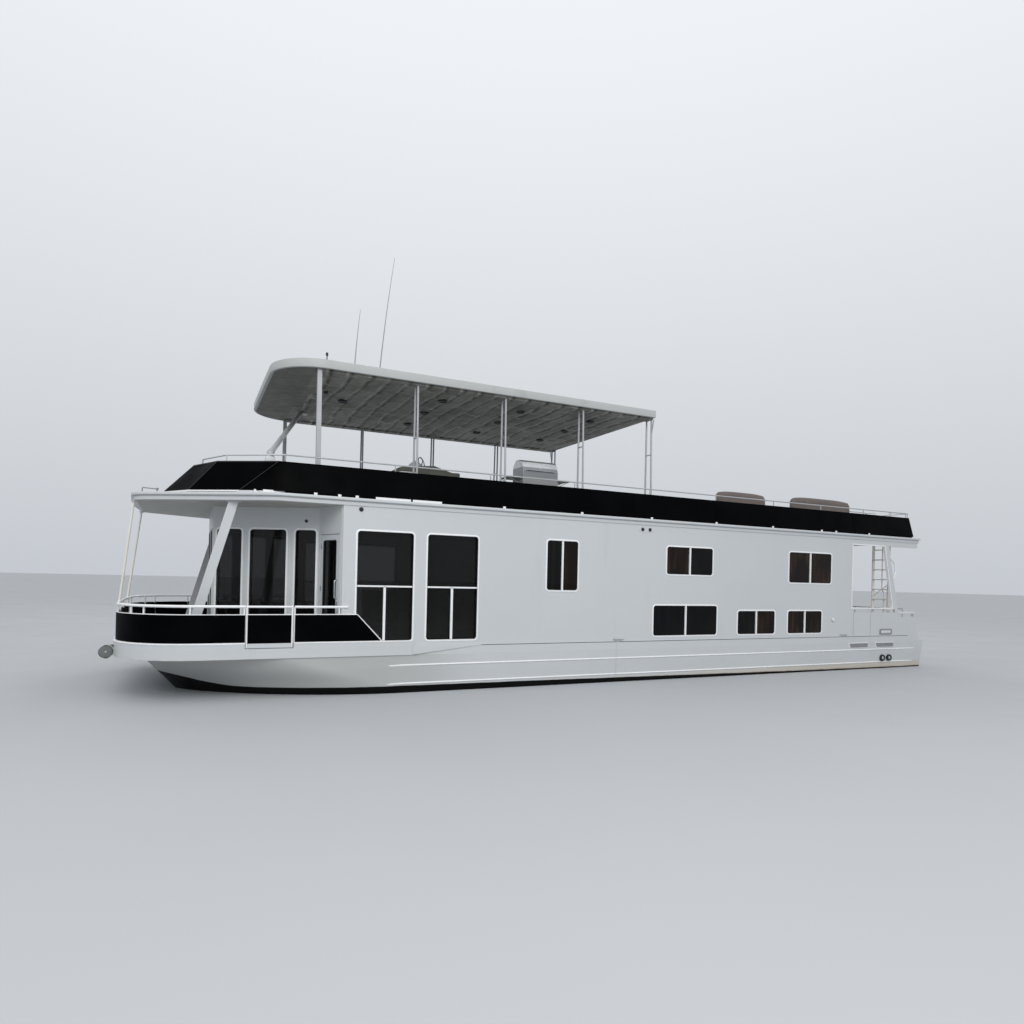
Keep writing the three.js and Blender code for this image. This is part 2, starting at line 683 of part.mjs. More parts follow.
function aftDoor() {
  const half = AFT_DOOR_HALF;
  const outline = [
    [-half, DECK_Z + 16], [half, DECK_Z + 16], [half, DOOR_TOP_Z], [-half, DOOR_TOP_Z],
  ];
  const hole = windowHole(-half + 110, half - 110, DECK_Z + 200, DOOR_TOP_Z - 110, 40);
  const aftFace = CABIN_AFT_STATION + WALL;
  const pivot = [station(aftFace - 8), half - PIVOT_INSET];
  return join(
    crossPanel(outline, [hole], aftFace - DOOR_THICK, aftFace),
    box(station(aftFace - 26), station(aftFace - 18), 90 - half, half - 90, DECK_Z + 180, DOOR_TOP_Z - 90),
    rod([...pivot, DECK_Z + 8 + GAP], [...pivot, DECK_Z + 30], PIVOT_RADIUS),
  );
}
add('aft_door', aftDoor(), WHITE);

// Glass of the saloon: one pane behind each side's two tall windows, and one behind each front wall
const PANE = 10;

function saloonGlass() {
  const y1 = HALF_BEAM - WALL - GAP;
  const outline = [[2860, 955], [5370, 955], [5370, 3085], [2860, 3085]];
  return sidePanel(outline, [], y1 - PANE, y1);
}
addBoth('saloon_glass', saloonGlass, GLASS);

function paneBehind(a, b, from, to, z0, z1) {
  const start = new THREE.Vector2(station(a[0]), a[1]);
  const end = new THREE.Vector2(station(b[0]), b[1]);
  const along = end.clone().sub(start).normalize();
  const pane = box(from, to, 0, z1 - z0, WALL + GAP, WALL + GAP + PANE);
  const x = new THREE.Vector3(along.x, along.y, 0);
  const z = new THREE.Vector3(0, 0, 1);
  pane.applyMatrix4(new THREE.Matrix4().makeBasis(x, z, new THREE.Vector3().crossVectors(x, z)));
  return pane.translate(start.x, start.y, z0);
}
const frontGlass = () => paneBehind(FRONT_CORNERS[1], FRONT_CORNERS[2], 65, 2070, 960, 3120);
addBoth('front_glass', frontGlass, GLASS);
add('centre_glass', paneBehind(FRONT_CORNERS[2], FRONT_MIRROR, 80, 2080, 960, 3120), GLASS);

// Upper deck, which is the cabin's roof, and the roof over the aft deck with the ladder's hatch
const ROOF_HALF = 3060;
const ROOF_JOINT_STATION = 16170;
const HATCH = { s0: 17230, s1: 18190, y0: 2000, y1: 2780 };

function roofSlab() {
  const plan = wholePlan([
    [-950, 0],
    [-870, 1540, 500],
    [1430, ROOF_HALF, 700],
    [ROOF_AFT_STATION, ROOF_HALF, 60],
  ], 5);
  return prism(plan, ROOF_LOW_Z, ROOF_TOP_Z);
}

const roofTool = (s0, s1, y0, y1) =>
  box(station(s0), station(s1), y0, y1, ROOF_LOW_Z - 50, ROOF_TOP_Z + 50);

function upperDeck() {
  return cut(roofSlab(), roofTool(ROOF_JOINT_STATION, 25000, -4000, 4000));
}
add('upper_deck', upperDeck(), WHITE);

function aftRoof() {
  const fore = roofTool(-3000, ROOF_JOINT_STATION + GAP, -4000, 4000);
  return cut(roofSlab(), fore, roofTool(HATCH.s0, HATCH.s1, HATCH.y0, HATCH.y1));
}
add('aft_roof', aftRoof(), WHITE);

// Black coaming round the upper deck, and a pipe rail on short stanchions inside it
// Corners in plan: station and half breadth, at the foot and at the top
const COAMING_FRONT = [
  { foot: [-400, 0], top: [80, 0] },
  { foot: [-340, 1450], top: [150, 1400] },
  { foot: [60, 2045], top: [520, 2200] },
  { foot: [880, 2600], top: [1500, 2830] },
];
const COAMING_SIDE = { foot: 2950, top: 2830 };
const COAMING_AFT_STATION = 18750;
const COAMING_THICK = 20;
const RAIL_SETBACK = 160;

const lift = ([s, y], z, sign) => [station(s), sign * y, z];

function frontCoaming() {
  const ends = COAMING_FRONT.slice(1).reverse();
  const line = (key, z) => [
    ...ends.map((corner) => lift(corner[key], z, -1)),
    ...COAMING_FRONT.slice(1).map((corner) => lift(corner[key], z, 1)),
  ];
  const skin = ribbon(line('foot', COAMING_LOW_Z), line('top', COAMING_TOP_Z), COAMING_THICK);
  const rail = line('top', UPPER_RAIL_Z).map(([x, y, z], i, all) =>
    [x - (i === 0 || i === all.length - 1 ? 30 : RAIL_SETBACK), y * 0.985, z]);
  const pieces = [skin];
  for (let i = 0; i < rail.length - 1; i += 1) {
    pieces.push(rod(rail[i], rail[i + 1], RAIL_RADIUS - 4, 6));
  }
  for (const [x, y] of rail.slice(1, -1)) {
    pieces.push(box(x - 14, x + 14, y - 14, y + 14, ROOF_TOP_Z + GAP, UPPER_RAIL_Z + 10));
    pieces.push(box(x - 10, x + RAIL_SETBACK + 30, y - 10, y + 10, COAMING_TOP_Z - 60, COAMING_TOP_Z - 20));
  }
  return join(...pieces);
}
add('front_coaming', frontCoaming(), BLACK);

// The side coaming's foot swings out behind the corner, and stands on small feet
const SIDE_FOOT = [[884, 2603], [1150, 2760], [1450, 2880], [1850, COAMING_SIDE.foot]];
const SIDE_TOP = [1504, 1580, 1700, 1900];
const UPPER_RAIL_Y = COAMING_SIDE.top - 50;
const STANCHIONS = [1620, 3650, 5650, 7650, 9650, 11610, 13500, 15200, 16850, 18700];

function sideCoaming() {
  const foot = [...SIDE_FOOT, [COAMING_AFT_STATION, COAMING_SIDE.foot]]
    .map((point) => lift(point, COAMING_LOW_Z, 1));
  const top = [...SIDE_TOP, COAMING_AFT_STATION - 40]
    .map((s) => lift([s, COAMING_SIDE.top], COAMING_TOP_Z, 1));
  const feet = STANCHIONS.slice(1).map((s) => box(station(s) - 40, station(s) + 40,
    COAMING_SIDE.foot - 75, COAMING_SIDE.foot - 4, ROOF_TOP_Z + GAP, COAMING_LOW_Z + 25));
  feet.push(box(station(1150) - 40, station(1150) + 40, 2690, 2752, ROOF_TOP_Z + GAP, COAMING_LOW_Z + 25));
  return join(ribbon(foot, top, COAMING_THICK), ...feet);
}
addBoth('side_coaming', sideCoaming, BLACK);

function upperRail() {
  const first = STANCHIONS[0];
  const last = STANCHIONS[STANCHIONS.length - 1];
  const pieces = [rod([station(first - 14), UPPER_RAIL_Y, UPPER_RAIL_Z],
    [station(last), UPPER_RAIL_Y, UPPER_RAIL_Z], 15, 6)];
  for (const s of STANCHIONS) {
    pieces.push(upright(s, UPPER_RAIL_Y, ROOF_TOP_Z + GAP, UPPER_RAIL_Z, 28));
  }
  return join(...pieces);
}
addBoth('upper_rail', upperRail, WHITE);

function aftCoaming() {
  const y = COAMING_SIDE.top - 70;
  const s = COAMING_AFT_STATION - 60;
  const pieces = [
    box(station(s), station(s + COAMING_THICK), -y, y, COAMING_LOW_Z, COAMING_TOP_Z),
    rod([station(s - 20), -y, UPPER_RAIL_Z], [station(s - 20), y, UPPER_RAIL_Z], 15, 6),
  ];
  for (let i = 0; i <= 3; i += 1) {
    pieces.push(upright(s - 12, -y + 20 + ((2 * y - 40) * i) / 3, ROOF_TOP_Z + GAP, UPPER_RAIL_Z, 28));
  }
  return join(...pieces);
}
add('aft_coaming', aftCoaming(), BLACK);

// Canopy over the front of the upper deck, on five frames a side
function canopy() {
  const plan = wholePlan([
    [1435, 0],
    [1445, CANOPY_HALF, 950],
    [CANOPY_AFT_STATION, CANOPY_HALF, 30],
  ], 8);
  return prism(plan, CANOPY_LOW_Z, CANOPY_TOP_Z);
}
add('canopy', canopy(), CANOPY_WHITE);

const FRAME_LEAN = 60;
const FRAME_TUBE = 19;
const FRAME_INNER = 240;
const RUNG_SHARE = 0.65;

function canopyPosts() {
  const top = CANOPY_LOW_Z - GAP;
  const low = ROOF_TOP_Z + GAP;
  const rise = top - 5 - (low + 5);
  const pieces = [box(station(FRAMES[0] - 45), station(FRAMES[4] + 25), FRAME_Y - FRAME_INNER - 25,
    FRAME_Y - FRAME_LEAN + 45, top - 40, top)];
  FRAMES.forEach((s, i) => {
    const outer = (share) => [station(s), FRAME_Y - FRAME_LEAN * share, low + 5 + rise * share];
    const inner = (share) => [station(s), FRAME_Y - FRAME_INNER, low + 5 + rise * share];
    if (i === 0) {
      pieces.push(box(station(s) - 60, station(s) + 60, FRAME_Y - 60, FRAME_Y + 60, low, low + 10));
      pieces.push(beam(outer(0), outer(1), 85, 85));
      return;
    }
    pieces.push(box(station(s) - 35, station(s) + 35, FRAME_Y - FRAME_INNER - 35, FRAME_Y + 35,
      low, low + 10));
    pieces.push(rod(outer(0), outer(1), FRAME_TUBE));
    pieces.push(rod(inner(0), inner(1), FRAME_TUBE));
    pieces.push(rod(outer(RUNG_SHARE), inner(RUNG_SHARE), FRAME_TUBE - 5));
  });
  return join(...pieces);
}
addBoth('canopy_posts', canopyPosts, WHITE);

// One slanting brace from a foot at the port front corner up to the canopy's far side
const BRACE_FOOT = [1385, 2560];
const BRACE_HEAD = [2510, -1450];

function canopyBrace() {
  const footTop = 4330;
  const [s0, y0] = BRACE_FOOT;
  const [s1, y1] = BRACE_HEAD;
  const foot = box(station(s0 - 90), station(s0 + 90), y0 - 90, y0 + 90, ROOF_TOP_Z + GAP, footTop);
  const stub = rod([station(s0), y0, footTop - 20], [station(s0), y0, footTop + 100], 62, 10);
  const tube = rod([station(s0), y0, footTop + 60], [station(s1), y1, CANOPY_LOW_Z + 60], 50, 10);
  const trim = box(station(s1) - 900, station(s1) + 900, -3000, 3000,
    CANOPY_LOW_Z - GAP, CANOPY_LOW_Z + 500);
  return cut(join(foot, stub, tube), trim);
}
add('canopy_brace', canopyBrace(), WHITE);

// Whip antennas stand on the canopy
// Each antenna: name, foot station, y, height and lean aft
const ANTENNAS = [
  { name: 'tall_antenna', s: 3560, y: 1700, tall: 2570, lean: 200 },
  { name: 'short_antenna', s: 3050, y: 1700, tall: 1370, lean: 60 },
];
for (const { name, s, y, tall, lean } of ANTENNAS) {
  const foot = CANOPY_TOP_Z + GAP;
  const whip = join(
    rod([station(s), y, foot], [station(s), y, foot + 90], 28, 10),
    rod([station(s), y, foot + 40], [station(s + lean), y, foot + tall], 9, 6),
  );
  add(name, whip, STEEL);
}

// Helm on the upper deck: console with a pod for the wheel, the wheel, and a seat
const HELM = { s: 4780, y: 0, top: 1120 };
const WHEEL_RISE = 100;

function helmConsole() {
  const { s, y, top } = HELM;
  const floor = ROOF_TOP_Z + GAP;
  const desk = floor + top;
  return join(
    sidePanel([[s - 330, floor], [s + 150, floor], [s + 250, desk + 30], [s - 380, desk - 30]],
      [], y - 450, y + 450),
    sidePanel([[s + 10, desk - 60], [s + 215, desk - 70], [s + 200, desk + 150], [s + 90, desk + 190],
      [s + 10, desk + 120]], [], y - 160, y + 160),
    sidePanel([[s + 100, desk - 260], [s + 1000, desk - 260], [s + 1000, desk - 100], [s + 460, desk + 45],
      [s + 100, desk]], [], y + 360, y + 450),
    rod([station(s + 950), y + 405, floor], [station(s + 950), y + 405, desk - 250], 22, 10),
    rod([station(s + 190), y, desk + WHEEL_RISE - 27], [station(s + 268), y, desk + WHEEL_RISE], 30, 10),
  );
}
add('helm_console', helmConsole(), WHITE);

function helmWheel() {
  const wheel = new THREE.TorusGeometry(190, 16, 8, 24);
  const spokes = [0, 1, 2].map((i) => {
    const angle = Math.PI / 2 + (i * 2 * Math.PI) / 3;
    return rod([0, 0, 0], [188 * Math.cos(angle), 188 * Math.sin(angle), 0], 11, 6);
  });
  const hub = rod([0, 0, -24], [0, 0, 14], 38, 12);
  const whole = join(wheel, hub, ...spokes);
  const aim = new THREE.Quaternion().setFromUnitVectors(
    new THREE.Vector3(0, 0, 1), new THREE.Vector3(-78, 0, 27).normalize());
  whole.applyQuaternion(aim);
  const height = ROOF_TOP_Z + GAP + HELM.top + WHEEL_RISE + 8.2;
  return whole.translate(station(HELM.s + 268) - 22.9, HELM.y, height);
}
add('helm_wheel', helmWheel(), STEEL);

function helmSeat() {
  const s = HELM.s + 900;
  const floor = ROOF_TOP_Z + GAP;
  return join(
    rod([station(s), HELM.y, floor], [station(s), HELM.y, floor + 480], 45, 12),
    rod([station(s), HELM.y, floor], [station(s), HELM.y, floor + 20], 180, 16),
    box(station(s - 330), station(s + 240), HELM.y - 260, HELM.y + 260, floor + 460, floor + 580),
    box(station(s + 170), station(s + 260), HELM.y - 260, HELM.y + 260, floor + 500, floor + 1080),
    ...[-1, 1].map((sign) => box(station(s - 330), station(s + 260), HELM.y + sign * 250,
      HELM.y + sign * 320, floor + 480, floor + 1080)),
  );
}
add('helm_seat', helmSeat(), CUSHION);

// Gas grill with a hinged lid, beside the port rail
const GRILL = { s: 7210, y: 1750, half: 440, deep: 270, shelf: 890, wing: 330 };

function grillStand() {
  const { s, y, half, deep, shelf, wing } = GRILL;
  const floor = ROOF_TOP_Z + GAP;
  return join(
    box(station(s - half), station(s + half), y - deep, y + deep, floor, floor + shelf),
    box(station(s - half - wing), station(s + half + wing), y - deep + 30, y + deep - 30,
      floor + shelf - 60, floor + shelf - 30),
  );
}
add('grill_stand', grillStand(), GREY);

function grillLid() {
  const { s, y, half, deep, shelf } = GRILL;
  const low = ROOF_TOP_Z + GAP + shelf + GAP;
  const rise = 372;
  const profile = new THREE.Shape([
    [-deep, 0], [deep, 0], [deep, 120], [deep - 90, rise - 40], [deep - 230, rise],
    [-deep + 130, rise], [-deep, rise - 130],
  ].map(([u, v]) => new THREE.Vector2(u, v)));
  const hollow = new THREE.Shape([
    [-deep + 12, -1], [-deep + 12, rise - 140], [-deep + 136, rise - 12],
    [deep - 236, rise - 12], [deep - 100, rise - 50], [deep - 12, 116], [deep - 12, -1],
  ].map(([u, v]) => new THREE.Vector2(u, v)));
  const sweep = (shape, depth) => new THREE.ExtrudeGeometry(shape, { depth, bevelEnabled: false });
  const skin = sweep(profile, 2 * half);
  const core = sweep(hollow, 2 * half - 24).translate(0, 0, 12);
  const shell = cut(skin, core);
  shell.rotateX(Math.PI / 2);
  shell.rotateZ(Math.PI / 2);
  shell.translate(station(s + half), 0, 0);
  return shell.translate(0, y, low);
}
add('grill_lid', grillLid(), STEEL);

// Low bench cupboard, and two deck sofas aft of it with their backs to the port rail
function deckBench() {
  const floor = ROOF_TOP_Z + GAP;
  return box(station(8350), station(9780), 1850, 2270, floor, floor + 640);
}
add('deck_bench', deckBench(), GREY);

const SOFAS = [
  { name: 'forward_sofa', s0: 12000, s1: 13580, high: 915 },
  { name: 'aft_sofa', s0: 14560, s1: 16750, high: 955 },
];
const SOFA_SEAT = { y0: 1640, y1: 2330, low: 130, high: 430 };

function sofa({ s0, s1, high }) {
  const floor = ROOF_TOP_Z + GAP;
  const { y0, y1, low, high: seatTop } = SOFA_SEAT;
  const back = [[s0, floor + low], [s1, floor + low]];
  for (let i = 0; i <= 8; i += 1) {
    const share = i / 8;
    back.push([s1 + (s0 - s1) * share, floor + high - 50 * Math.pow(2 * share - 1, 4)]);
  }
  const pieces = [
    sidePanel(back, [], y1 - 20, y1 + 110),
    box(station(s0), station(s1), y0, y1, floor + low, floor + seatTop),
  ];
  for (const s of [s0, s1 - 120]) {
    pieces.push(box(station(s), station(s + 120), y0, y1, floor + low, floor + seatTop + 170));
  }
  for (const s of [s0 + 40, s1 - 110]) {
    for (const y of [y0 + 30, y1]) pieces.push(box(station(s), station(s + 70), y, y + 70, floor, floor + low + 10));
  }
  return join(...pieces);
}
for (const place of SOFAS) add(place.name, sofa(place), CUSHION);

// Upright ladder from the aft deck through the hatch, with a hand rail along the hatch
const LADDER = { s: 18065, y0: 2200, y1: 2720, lowTread: 1030, pitch: 283, treads: 9 };
const GUARD = { y: 1950, foreStation: 17200, top: 4400, middle: 4040 };

function sternLadder() {
  const { s, y0, y1, lowTread, pitch, treads } = LADDER;
  const low = DECK_Z + GAP;
  const pieces = [];
  for (const y of [y0, y1 - 35]) {
    pieces.push(box(station(s - 45), station(s + 45), y, y + 35, low, GUARD.top));
  }
  for (let i = 0; i < treads; i += 1) {
    const z = lowTread + i * pitch;
    pieces.push(box(station(s - 60), station(s + 60), y0 + 10, y1 - 10, z - 14, z + 14));
  }
  for (const along of [GUARD.foreStation, s]) {
    pieces.push(upright(along, GUARD.y, ROOF_TOP_Z + GAP, GUARD.top + 16, 32));
  }
  for (const z of [GUARD.middle, GUARD.top]) {
    pieces.push(rod([station(GUARD.foreStation), GUARD.y, z], [station(s), GUARD.y, z], 14));
    pieces.push(rod([station(s), GUARD.y, z - 16], [station(s), y0 + 10, z - 16], 14));
  }
  return join(...pieces);
}
add('stern_ladder', sternLadder(), WHITE);

// Rail across the aft deck with a gate on the centreline
const STERN_GATE_HALF = 380;
const STERN_RAIL_STATION = 18380;

function sternRail() {
  const s = STERN_RAIL_STATION;
  const edge = HALF_BEAM - WALL - GAP;
  const low = DECK_Z + GAP;
  const pieces = [box(station(s - 15), station(s + 15), -edge, edge, low, low + 20)];
  for (const sign of [1, -1]) {
    const posts = [STERN_GATE_HALF + 28, 1400, edge - 20];
    for (const y of posts) pieces.push(upright(s, sign * y, low, RAIL_Z + 15, 30));
    for (const z of [1150, 1390, RAIL_Z]) {
      pieces.push(rod([station(s), sign * posts[0], z], [station(s), sign * posts[2], z], 14, 6));
    }
  }
  return join(...pieces);
}
add('stern_rail', sternRail(), STEEL);

function sternGate() {
  const s = STERN_RAIL_STATION;
  const half = STERN_GATE_HALF;
  const pivot = [station(s), half - PIVOT_INSET];
  return join(
    box(station(s - 15), station(s + 15), -half, -half + 30, DECK_Z + 40, RAIL_Z + 15),
    box(station(s - 15), station(s + 15), half - 30, half, DECK_Z + 40, RAIL_Z + 15),
    ...[1000, 1390, RAIL_Z].map((z) => rod([station(s), -half + 10, z], [station(s), half - 10, z], 14, 6)),
    rod([...pivot, DECK_Z + 20 + 2 * GAP], [...pivot, DECK_Z + 60], PIVOT_RADIUS),
  );
}
add('stern_gate', sternGate(), STEEL);

function swimPlatform() {
  return box(station(MAIN_DECK_AFT_STATION + 1), station(HULL_AFT_STATION + 20), -3040, 3040,
    HULL_TOP_Z + GAP, PLATFORM_Z);
}
add('swim_platform', swimPlatform(), WHITE);

// Twin sterndrives, steered on upright pins, each with a three-bladed propeller
const SHAFT_Z = -520;

function drive() {
  const x = station(DRIVE_PIN_STATION);
  const y = DRIVE_Y;
  const barrel = rod([x, y, LUG_LOW_Z + GAP], [x, y, LUG_TOP_Z - GAP], 48, 16);
  const arm = box(x - 20, x - 260, y - 60, y + 60, LUG_LOW_Z + 15, LUG_TOP_Z - 10);
  const leg = sidePanel([
    [DRIVE_PIN_STATION + 110, LUG_LOW_Z + 40],
    [DRIVE_PIN_STATION + 330, LUG_LOW_Z + 40],
    [DRIVE_PIN_STATION + 400, SHAFT_Z],
    [DRIVE_PIN_STATION + 160, SHAFT_Z],
  ], [], y - 38, y + 38);
  const plate = box(x - 130, x - 520, y - 130, y + 130, SHAFT_Z + 215, SHAFT_Z + 230);
  const gearcase = rod([x - 120, y, SHAFT_Z], [x - 470, y, SHAFT_Z], 60, 16);
  const skeg = sidePanel([
    [DRIVE_PIN_STATION + 230, SHAFT_Z],
    [DRIVE_PIN_STATION + 430, SHAFT_Z],
    [DRIVE_PIN_STATION + 400, SHAFT_Z - 230],
    [DRIVE_PIN_STATION + 330, SHAFT_Z - 230],
  ], [], y - 8, y + 8);
  return join(barrel, arm, leg, plate, gearcase, skeg);
}
addBoth('sterndrive', drive, BRONZE);

function propeller() {
  const x = station(DRIVE_PIN_STATION + 470) - GAP;
  const hub = rod([x, DRIVE_Y, SHAFT_Z], [x - 120, DRIVE_Y, SHAFT_Z], 50, 16);
  const blades = [0, 1, 2].map((i) => {
    const blade = new THREE.BoxGeometry(10, 95, 150);
    blade.rotateZ(0.5);
    blade.translate(0, 0, 115);
    blade.rotateX((i * 2 * Math.PI) / 3);
    return blade.translate(x - 60, DRIVE_Y, SHAFT_Z);
  });
  return join(hub, ...blades);
}
addBoth('propeller', propeller, BRONZE);

export default houseboat;
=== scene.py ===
import json
import math

import bmesh
import bpy
from mathutils import Matrix, Vector, noise


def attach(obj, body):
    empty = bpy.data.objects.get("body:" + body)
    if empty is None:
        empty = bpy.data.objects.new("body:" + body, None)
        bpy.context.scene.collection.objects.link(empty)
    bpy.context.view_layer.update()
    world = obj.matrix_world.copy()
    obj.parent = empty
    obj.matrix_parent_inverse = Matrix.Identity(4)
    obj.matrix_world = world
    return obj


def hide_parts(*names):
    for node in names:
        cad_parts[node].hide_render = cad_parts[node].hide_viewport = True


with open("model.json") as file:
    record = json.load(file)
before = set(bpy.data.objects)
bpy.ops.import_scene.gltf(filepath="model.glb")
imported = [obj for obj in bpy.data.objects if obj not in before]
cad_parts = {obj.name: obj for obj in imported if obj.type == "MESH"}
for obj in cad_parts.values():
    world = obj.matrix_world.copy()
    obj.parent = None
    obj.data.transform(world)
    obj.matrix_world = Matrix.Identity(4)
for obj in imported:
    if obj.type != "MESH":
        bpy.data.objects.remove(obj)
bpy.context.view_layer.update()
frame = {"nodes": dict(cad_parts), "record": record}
NODES = frame["nodes"]

# Places along the hull are stations: metres aft of station zero, as on the boat's drawing
STATION_ZERO_X = 9.0
HALF_BEAM = 3.0
DECK_Z = 0.9
HULL_TOP_Z = 0.725
TOE_TOP_Z = 0.99
SKIRT_FACE_Y = 3.03
RAIL_Z = 1.63
ROOF_TOP_Z = 3.64
COAMING_LOW_Z = 3.68
COAMING_TOP_Z = 4.21
UPPER_RAIL_Z = 4.35
CANOPY_LOW_Z = 6.08
CANOPY_TOP_Z = 6.25
CANOPY_HALF = 2.55
WELT_SPACING = 0.39
CABIN_FRONT_STATION = 2.64
HULL_AFT_STATION = 19.1
ROOF_AFT_STATION = 18.94
GATE_STATIONS = (1.005, 1.79)
GATE_GAP = 0.012
WALL = 0.06
SKIRT = (0.992, 1.488)
CEILING = (3.4955, 3.503)
# From the cabin's floor to its ceiling
INSIDE_Z = (0.92, 3.49)
# Stations and widths of the opening over the stern ladder
UPPER_HATCH = (17.23, 18.19, 2.0, 2.78)
HATCH_CUT = (3.4, 3.8)
HATCH_MARGIN = 0.03
UP = (0, 0, 1)

# The photograph's camera, found from its vanishing points
PHOTO_SIZE = 1024
FOCAL_PIXELS = 688.3
AXIS_ROW = 579.1
CAMERA_PLACE = Vector((9.0, 15.7, 2.2))
CAMERA_YAW = math.radians(25.59)
CAMERA_ROLL = math.radians(1.31)


def at(station):
    """The x of a station."""
    return STATION_ZERO_X - station


# Building meshes
class Shape:
    """Faces of one piece, in the boat's frame, in metres."""

    def __init__(self):
        self.points, self.faces = [], []

    def rows(self, rows, closed=False, ends=False):
        """A skin over rows of as many points. closed joins a row's ends, and ends caps the outer rows."""
        first, wide = len(self.points), len(rows[0])
        self.points += [Vector(p) for row in rows for p in row]
        for i in range(len(rows) - 1):
            for j in range(wide if closed else wide - 1):
                a, b = first + i * wide + j, first + i * wide + (j + 1) % wide
                self.faces.append((a, b, b + wide, a + wide))
        if ends:
            self.faces.append(tuple(range(first, first + wide))[::-1])
            self.faces.append(tuple(range(len(self.points) - wide, len(self.points))))
        return self

    def block(self, x, y, z):
        return self.plate(oblong(*x, *y), z)

    def plate(self, outline, z):
        """A plan outline between two heights."""
        return self.solid([[(*p[:2], level) for p in outline] for level in z])

    def side_plate(self, outline, y):
        """An outline in stations and heights between two widths."""
        return self.solid([[(at(s), width, z) for s, z in outline] for width in y])

    def sweep(self, path, section, up=UP, closed=False):
        """The section's points are (out, lift), and out is to the right of the path."""
        path, up = [Vector(p) for p in path], Vector(up)
        rows = []
        for i, point in enumerate(path):
            into, leaving = _directions(path, i, closed)
            along = (into + leaving).normalized()
            stretch = 1 / max(along.dot(leaving), 0.3)
            side = along.cross(up).normalized()
            lift = side.cross(along)
            rows.append([point + side * (u * stretch) + lift * v for u, v in section])
        if closed:
            rows.append(rows[0])
        return self.rows(rows, closed=True, ends=not closed)

    def tube(self, path, radius, sides=12, closed=False):
        """A round tube. radius is one number, or one for each point."""
        path = [Vector(p) for p in path]
        normal, rows = None, []
        for i, point in enumerate(path):
            into, leaving = _directions(path, i, closed)
            along = (into + leaving).normalized()
            normal = (normal or along.orthogonal())
            normal = (normal - along * normal.dot(along)).normalized()
            other = along.cross(normal)
            size = radius[i] if isinstance(radius, (list, tuple)) else radius
            turns = [2 * math.pi * k / sides for k in range(sides)]
            rows.append([point + (normal * math.cos(t) + other * math.sin(t)) * size for t in turns])
        if closed:
            rows.append(rows[0])
        return self.rows(rows, closed=True, ends=not closed)

    def lathe(self, centre, axis, profile, sides=24):
        """A turned body. The profile's points are (along the axis, radius)."""
        centre, axis = Vector(centre), Vector(axis).normalized()
        one = axis.orthogonal().normalized()
        two = axis.cross(one)
        rows = []
        for along, radius in profile:
            middle = centre + axis * along
            turns = [2 * math.pi * k / sides for k in range(sides)]
            rows.append([middle + (one * math.cos(t) + two * math.sin(t)) * radius for t in turns])
        return self.solid(rows)

    def solid(self, rows):
        return self.rows(rows, closed=True, ends=True)

    def post(self, x, y, z, radius, sides=12):
        """An upright tube between two heights."""
        return self.tube([(x, y, level) for level in z], radius, sides)

    def turned(self, place, profile, sides):
        """A lathe body on an upright axis."""
        return self.lathe(place, UP, profile, sides)

    def flange(self, place, radius, neck, sides=18, thick=0.006, tall=0.012):
        """A round foot that narrows to its tube."""
        return self.turned(place, [(0, radius), (thick, radius), (tall, neck)], sides)

    def barrel(self, place, tall, radius, sides=12, ease=0.004):
        """A hinge's barrel with eased ends."""
        end = radius - 0.003
        return self.turned(place, [(0, end), (ease, radius), (tall - ease, radius), (tall, end)], sides)

    def square(self, x, y, half, z):
        return self.block((x - half, x + half), (y - half, y + half), z)

    def add(self, other):
        first = len(self.points)
        self.points += [p.copy() for p in other.points]
        self.faces += [tuple(i + first for i in face) for face in other.faces]
        return self

    def moved(self, matrix):
        made = Shape()
        made.points = [matrix @ p for p in self.points]
        made.faces = list(self.faces)
        return made

    def mirrored(self):
        made = Shape()
        made.points = [Vector((p.x, -p.y, p.z)) for p in self.points]
        made.faces = [tuple(reversed(face)) for face in self.faces]
        return made


def _directions(path, i, closed):
    """The unit directions into and out of a path's point."""
    count = len(path)
    before = path[i - 1] if i or closed else None
    after = path[(i + 1) % count] if i < count - 1 or closed else None
    into = (path[i] - before).normalized() if before else (after - path[i]).normalized()
    leaving = (after - path[i]).normalized() if after else into
    return into, leaving


def rounded(points, arcs=6):
    """Rounds an open or closed outline's corners: each point is (coordinates, radius)."""
    made = []
    count = len(points)
    for i, (here, radius) in enumerate(points):
        here = Vector(here)
        if not radius:
            made.append(here)
            continue
        before = (Vector(points[i - 1][0]) - here).normalized()
        after = (Vector(points[(i + 1) % count][0]) - here).normalized()
        half = math.acos(max(-1, min(1, before.dot(after)))) / 2
        reach = radius / math.tan(half)
        centre = here + (before + after).normalized() * (radius / math.sin(half))
        first, last = here + before * reach - centre, here + after * reach - centre
        sweep = first.angle(last)
        for k in range(arcs + 1):
            t = k / arcs
            mixed = first * math.sin((1 - t) * sweep) + last * math.sin(t * sweep)
            made.append(centre + mixed / math.sin(sweep))
    return made


def bent(points, radius, arcs=5):
    """An open path of tube with its inner corners rounded."""
    last = len(points) - 1
    return rounded([(p, radius if 0 < i < last else 0) for i, p in enumerate(points)], arcs)


def whole_plan(half, arcs=8):
    """A plan outline from its port half, listed from the bow to the stern: (station, y, radius)."""
    port = [((at(s), y), r) for s, y, r in half]
    starboard = [((x, -y), r) for (x, y), r in port if y > 0][::-1]
    return rounded(port + starboard, arcs)


def oblong(a, b, low, high):
    return [(a, low), (b, low), (b, high), (a, high)]


def arc_points(count, start=0.0, end=2 * math.pi):
    return [start + (end - start) * k / (count - 1) for k in range(count)]


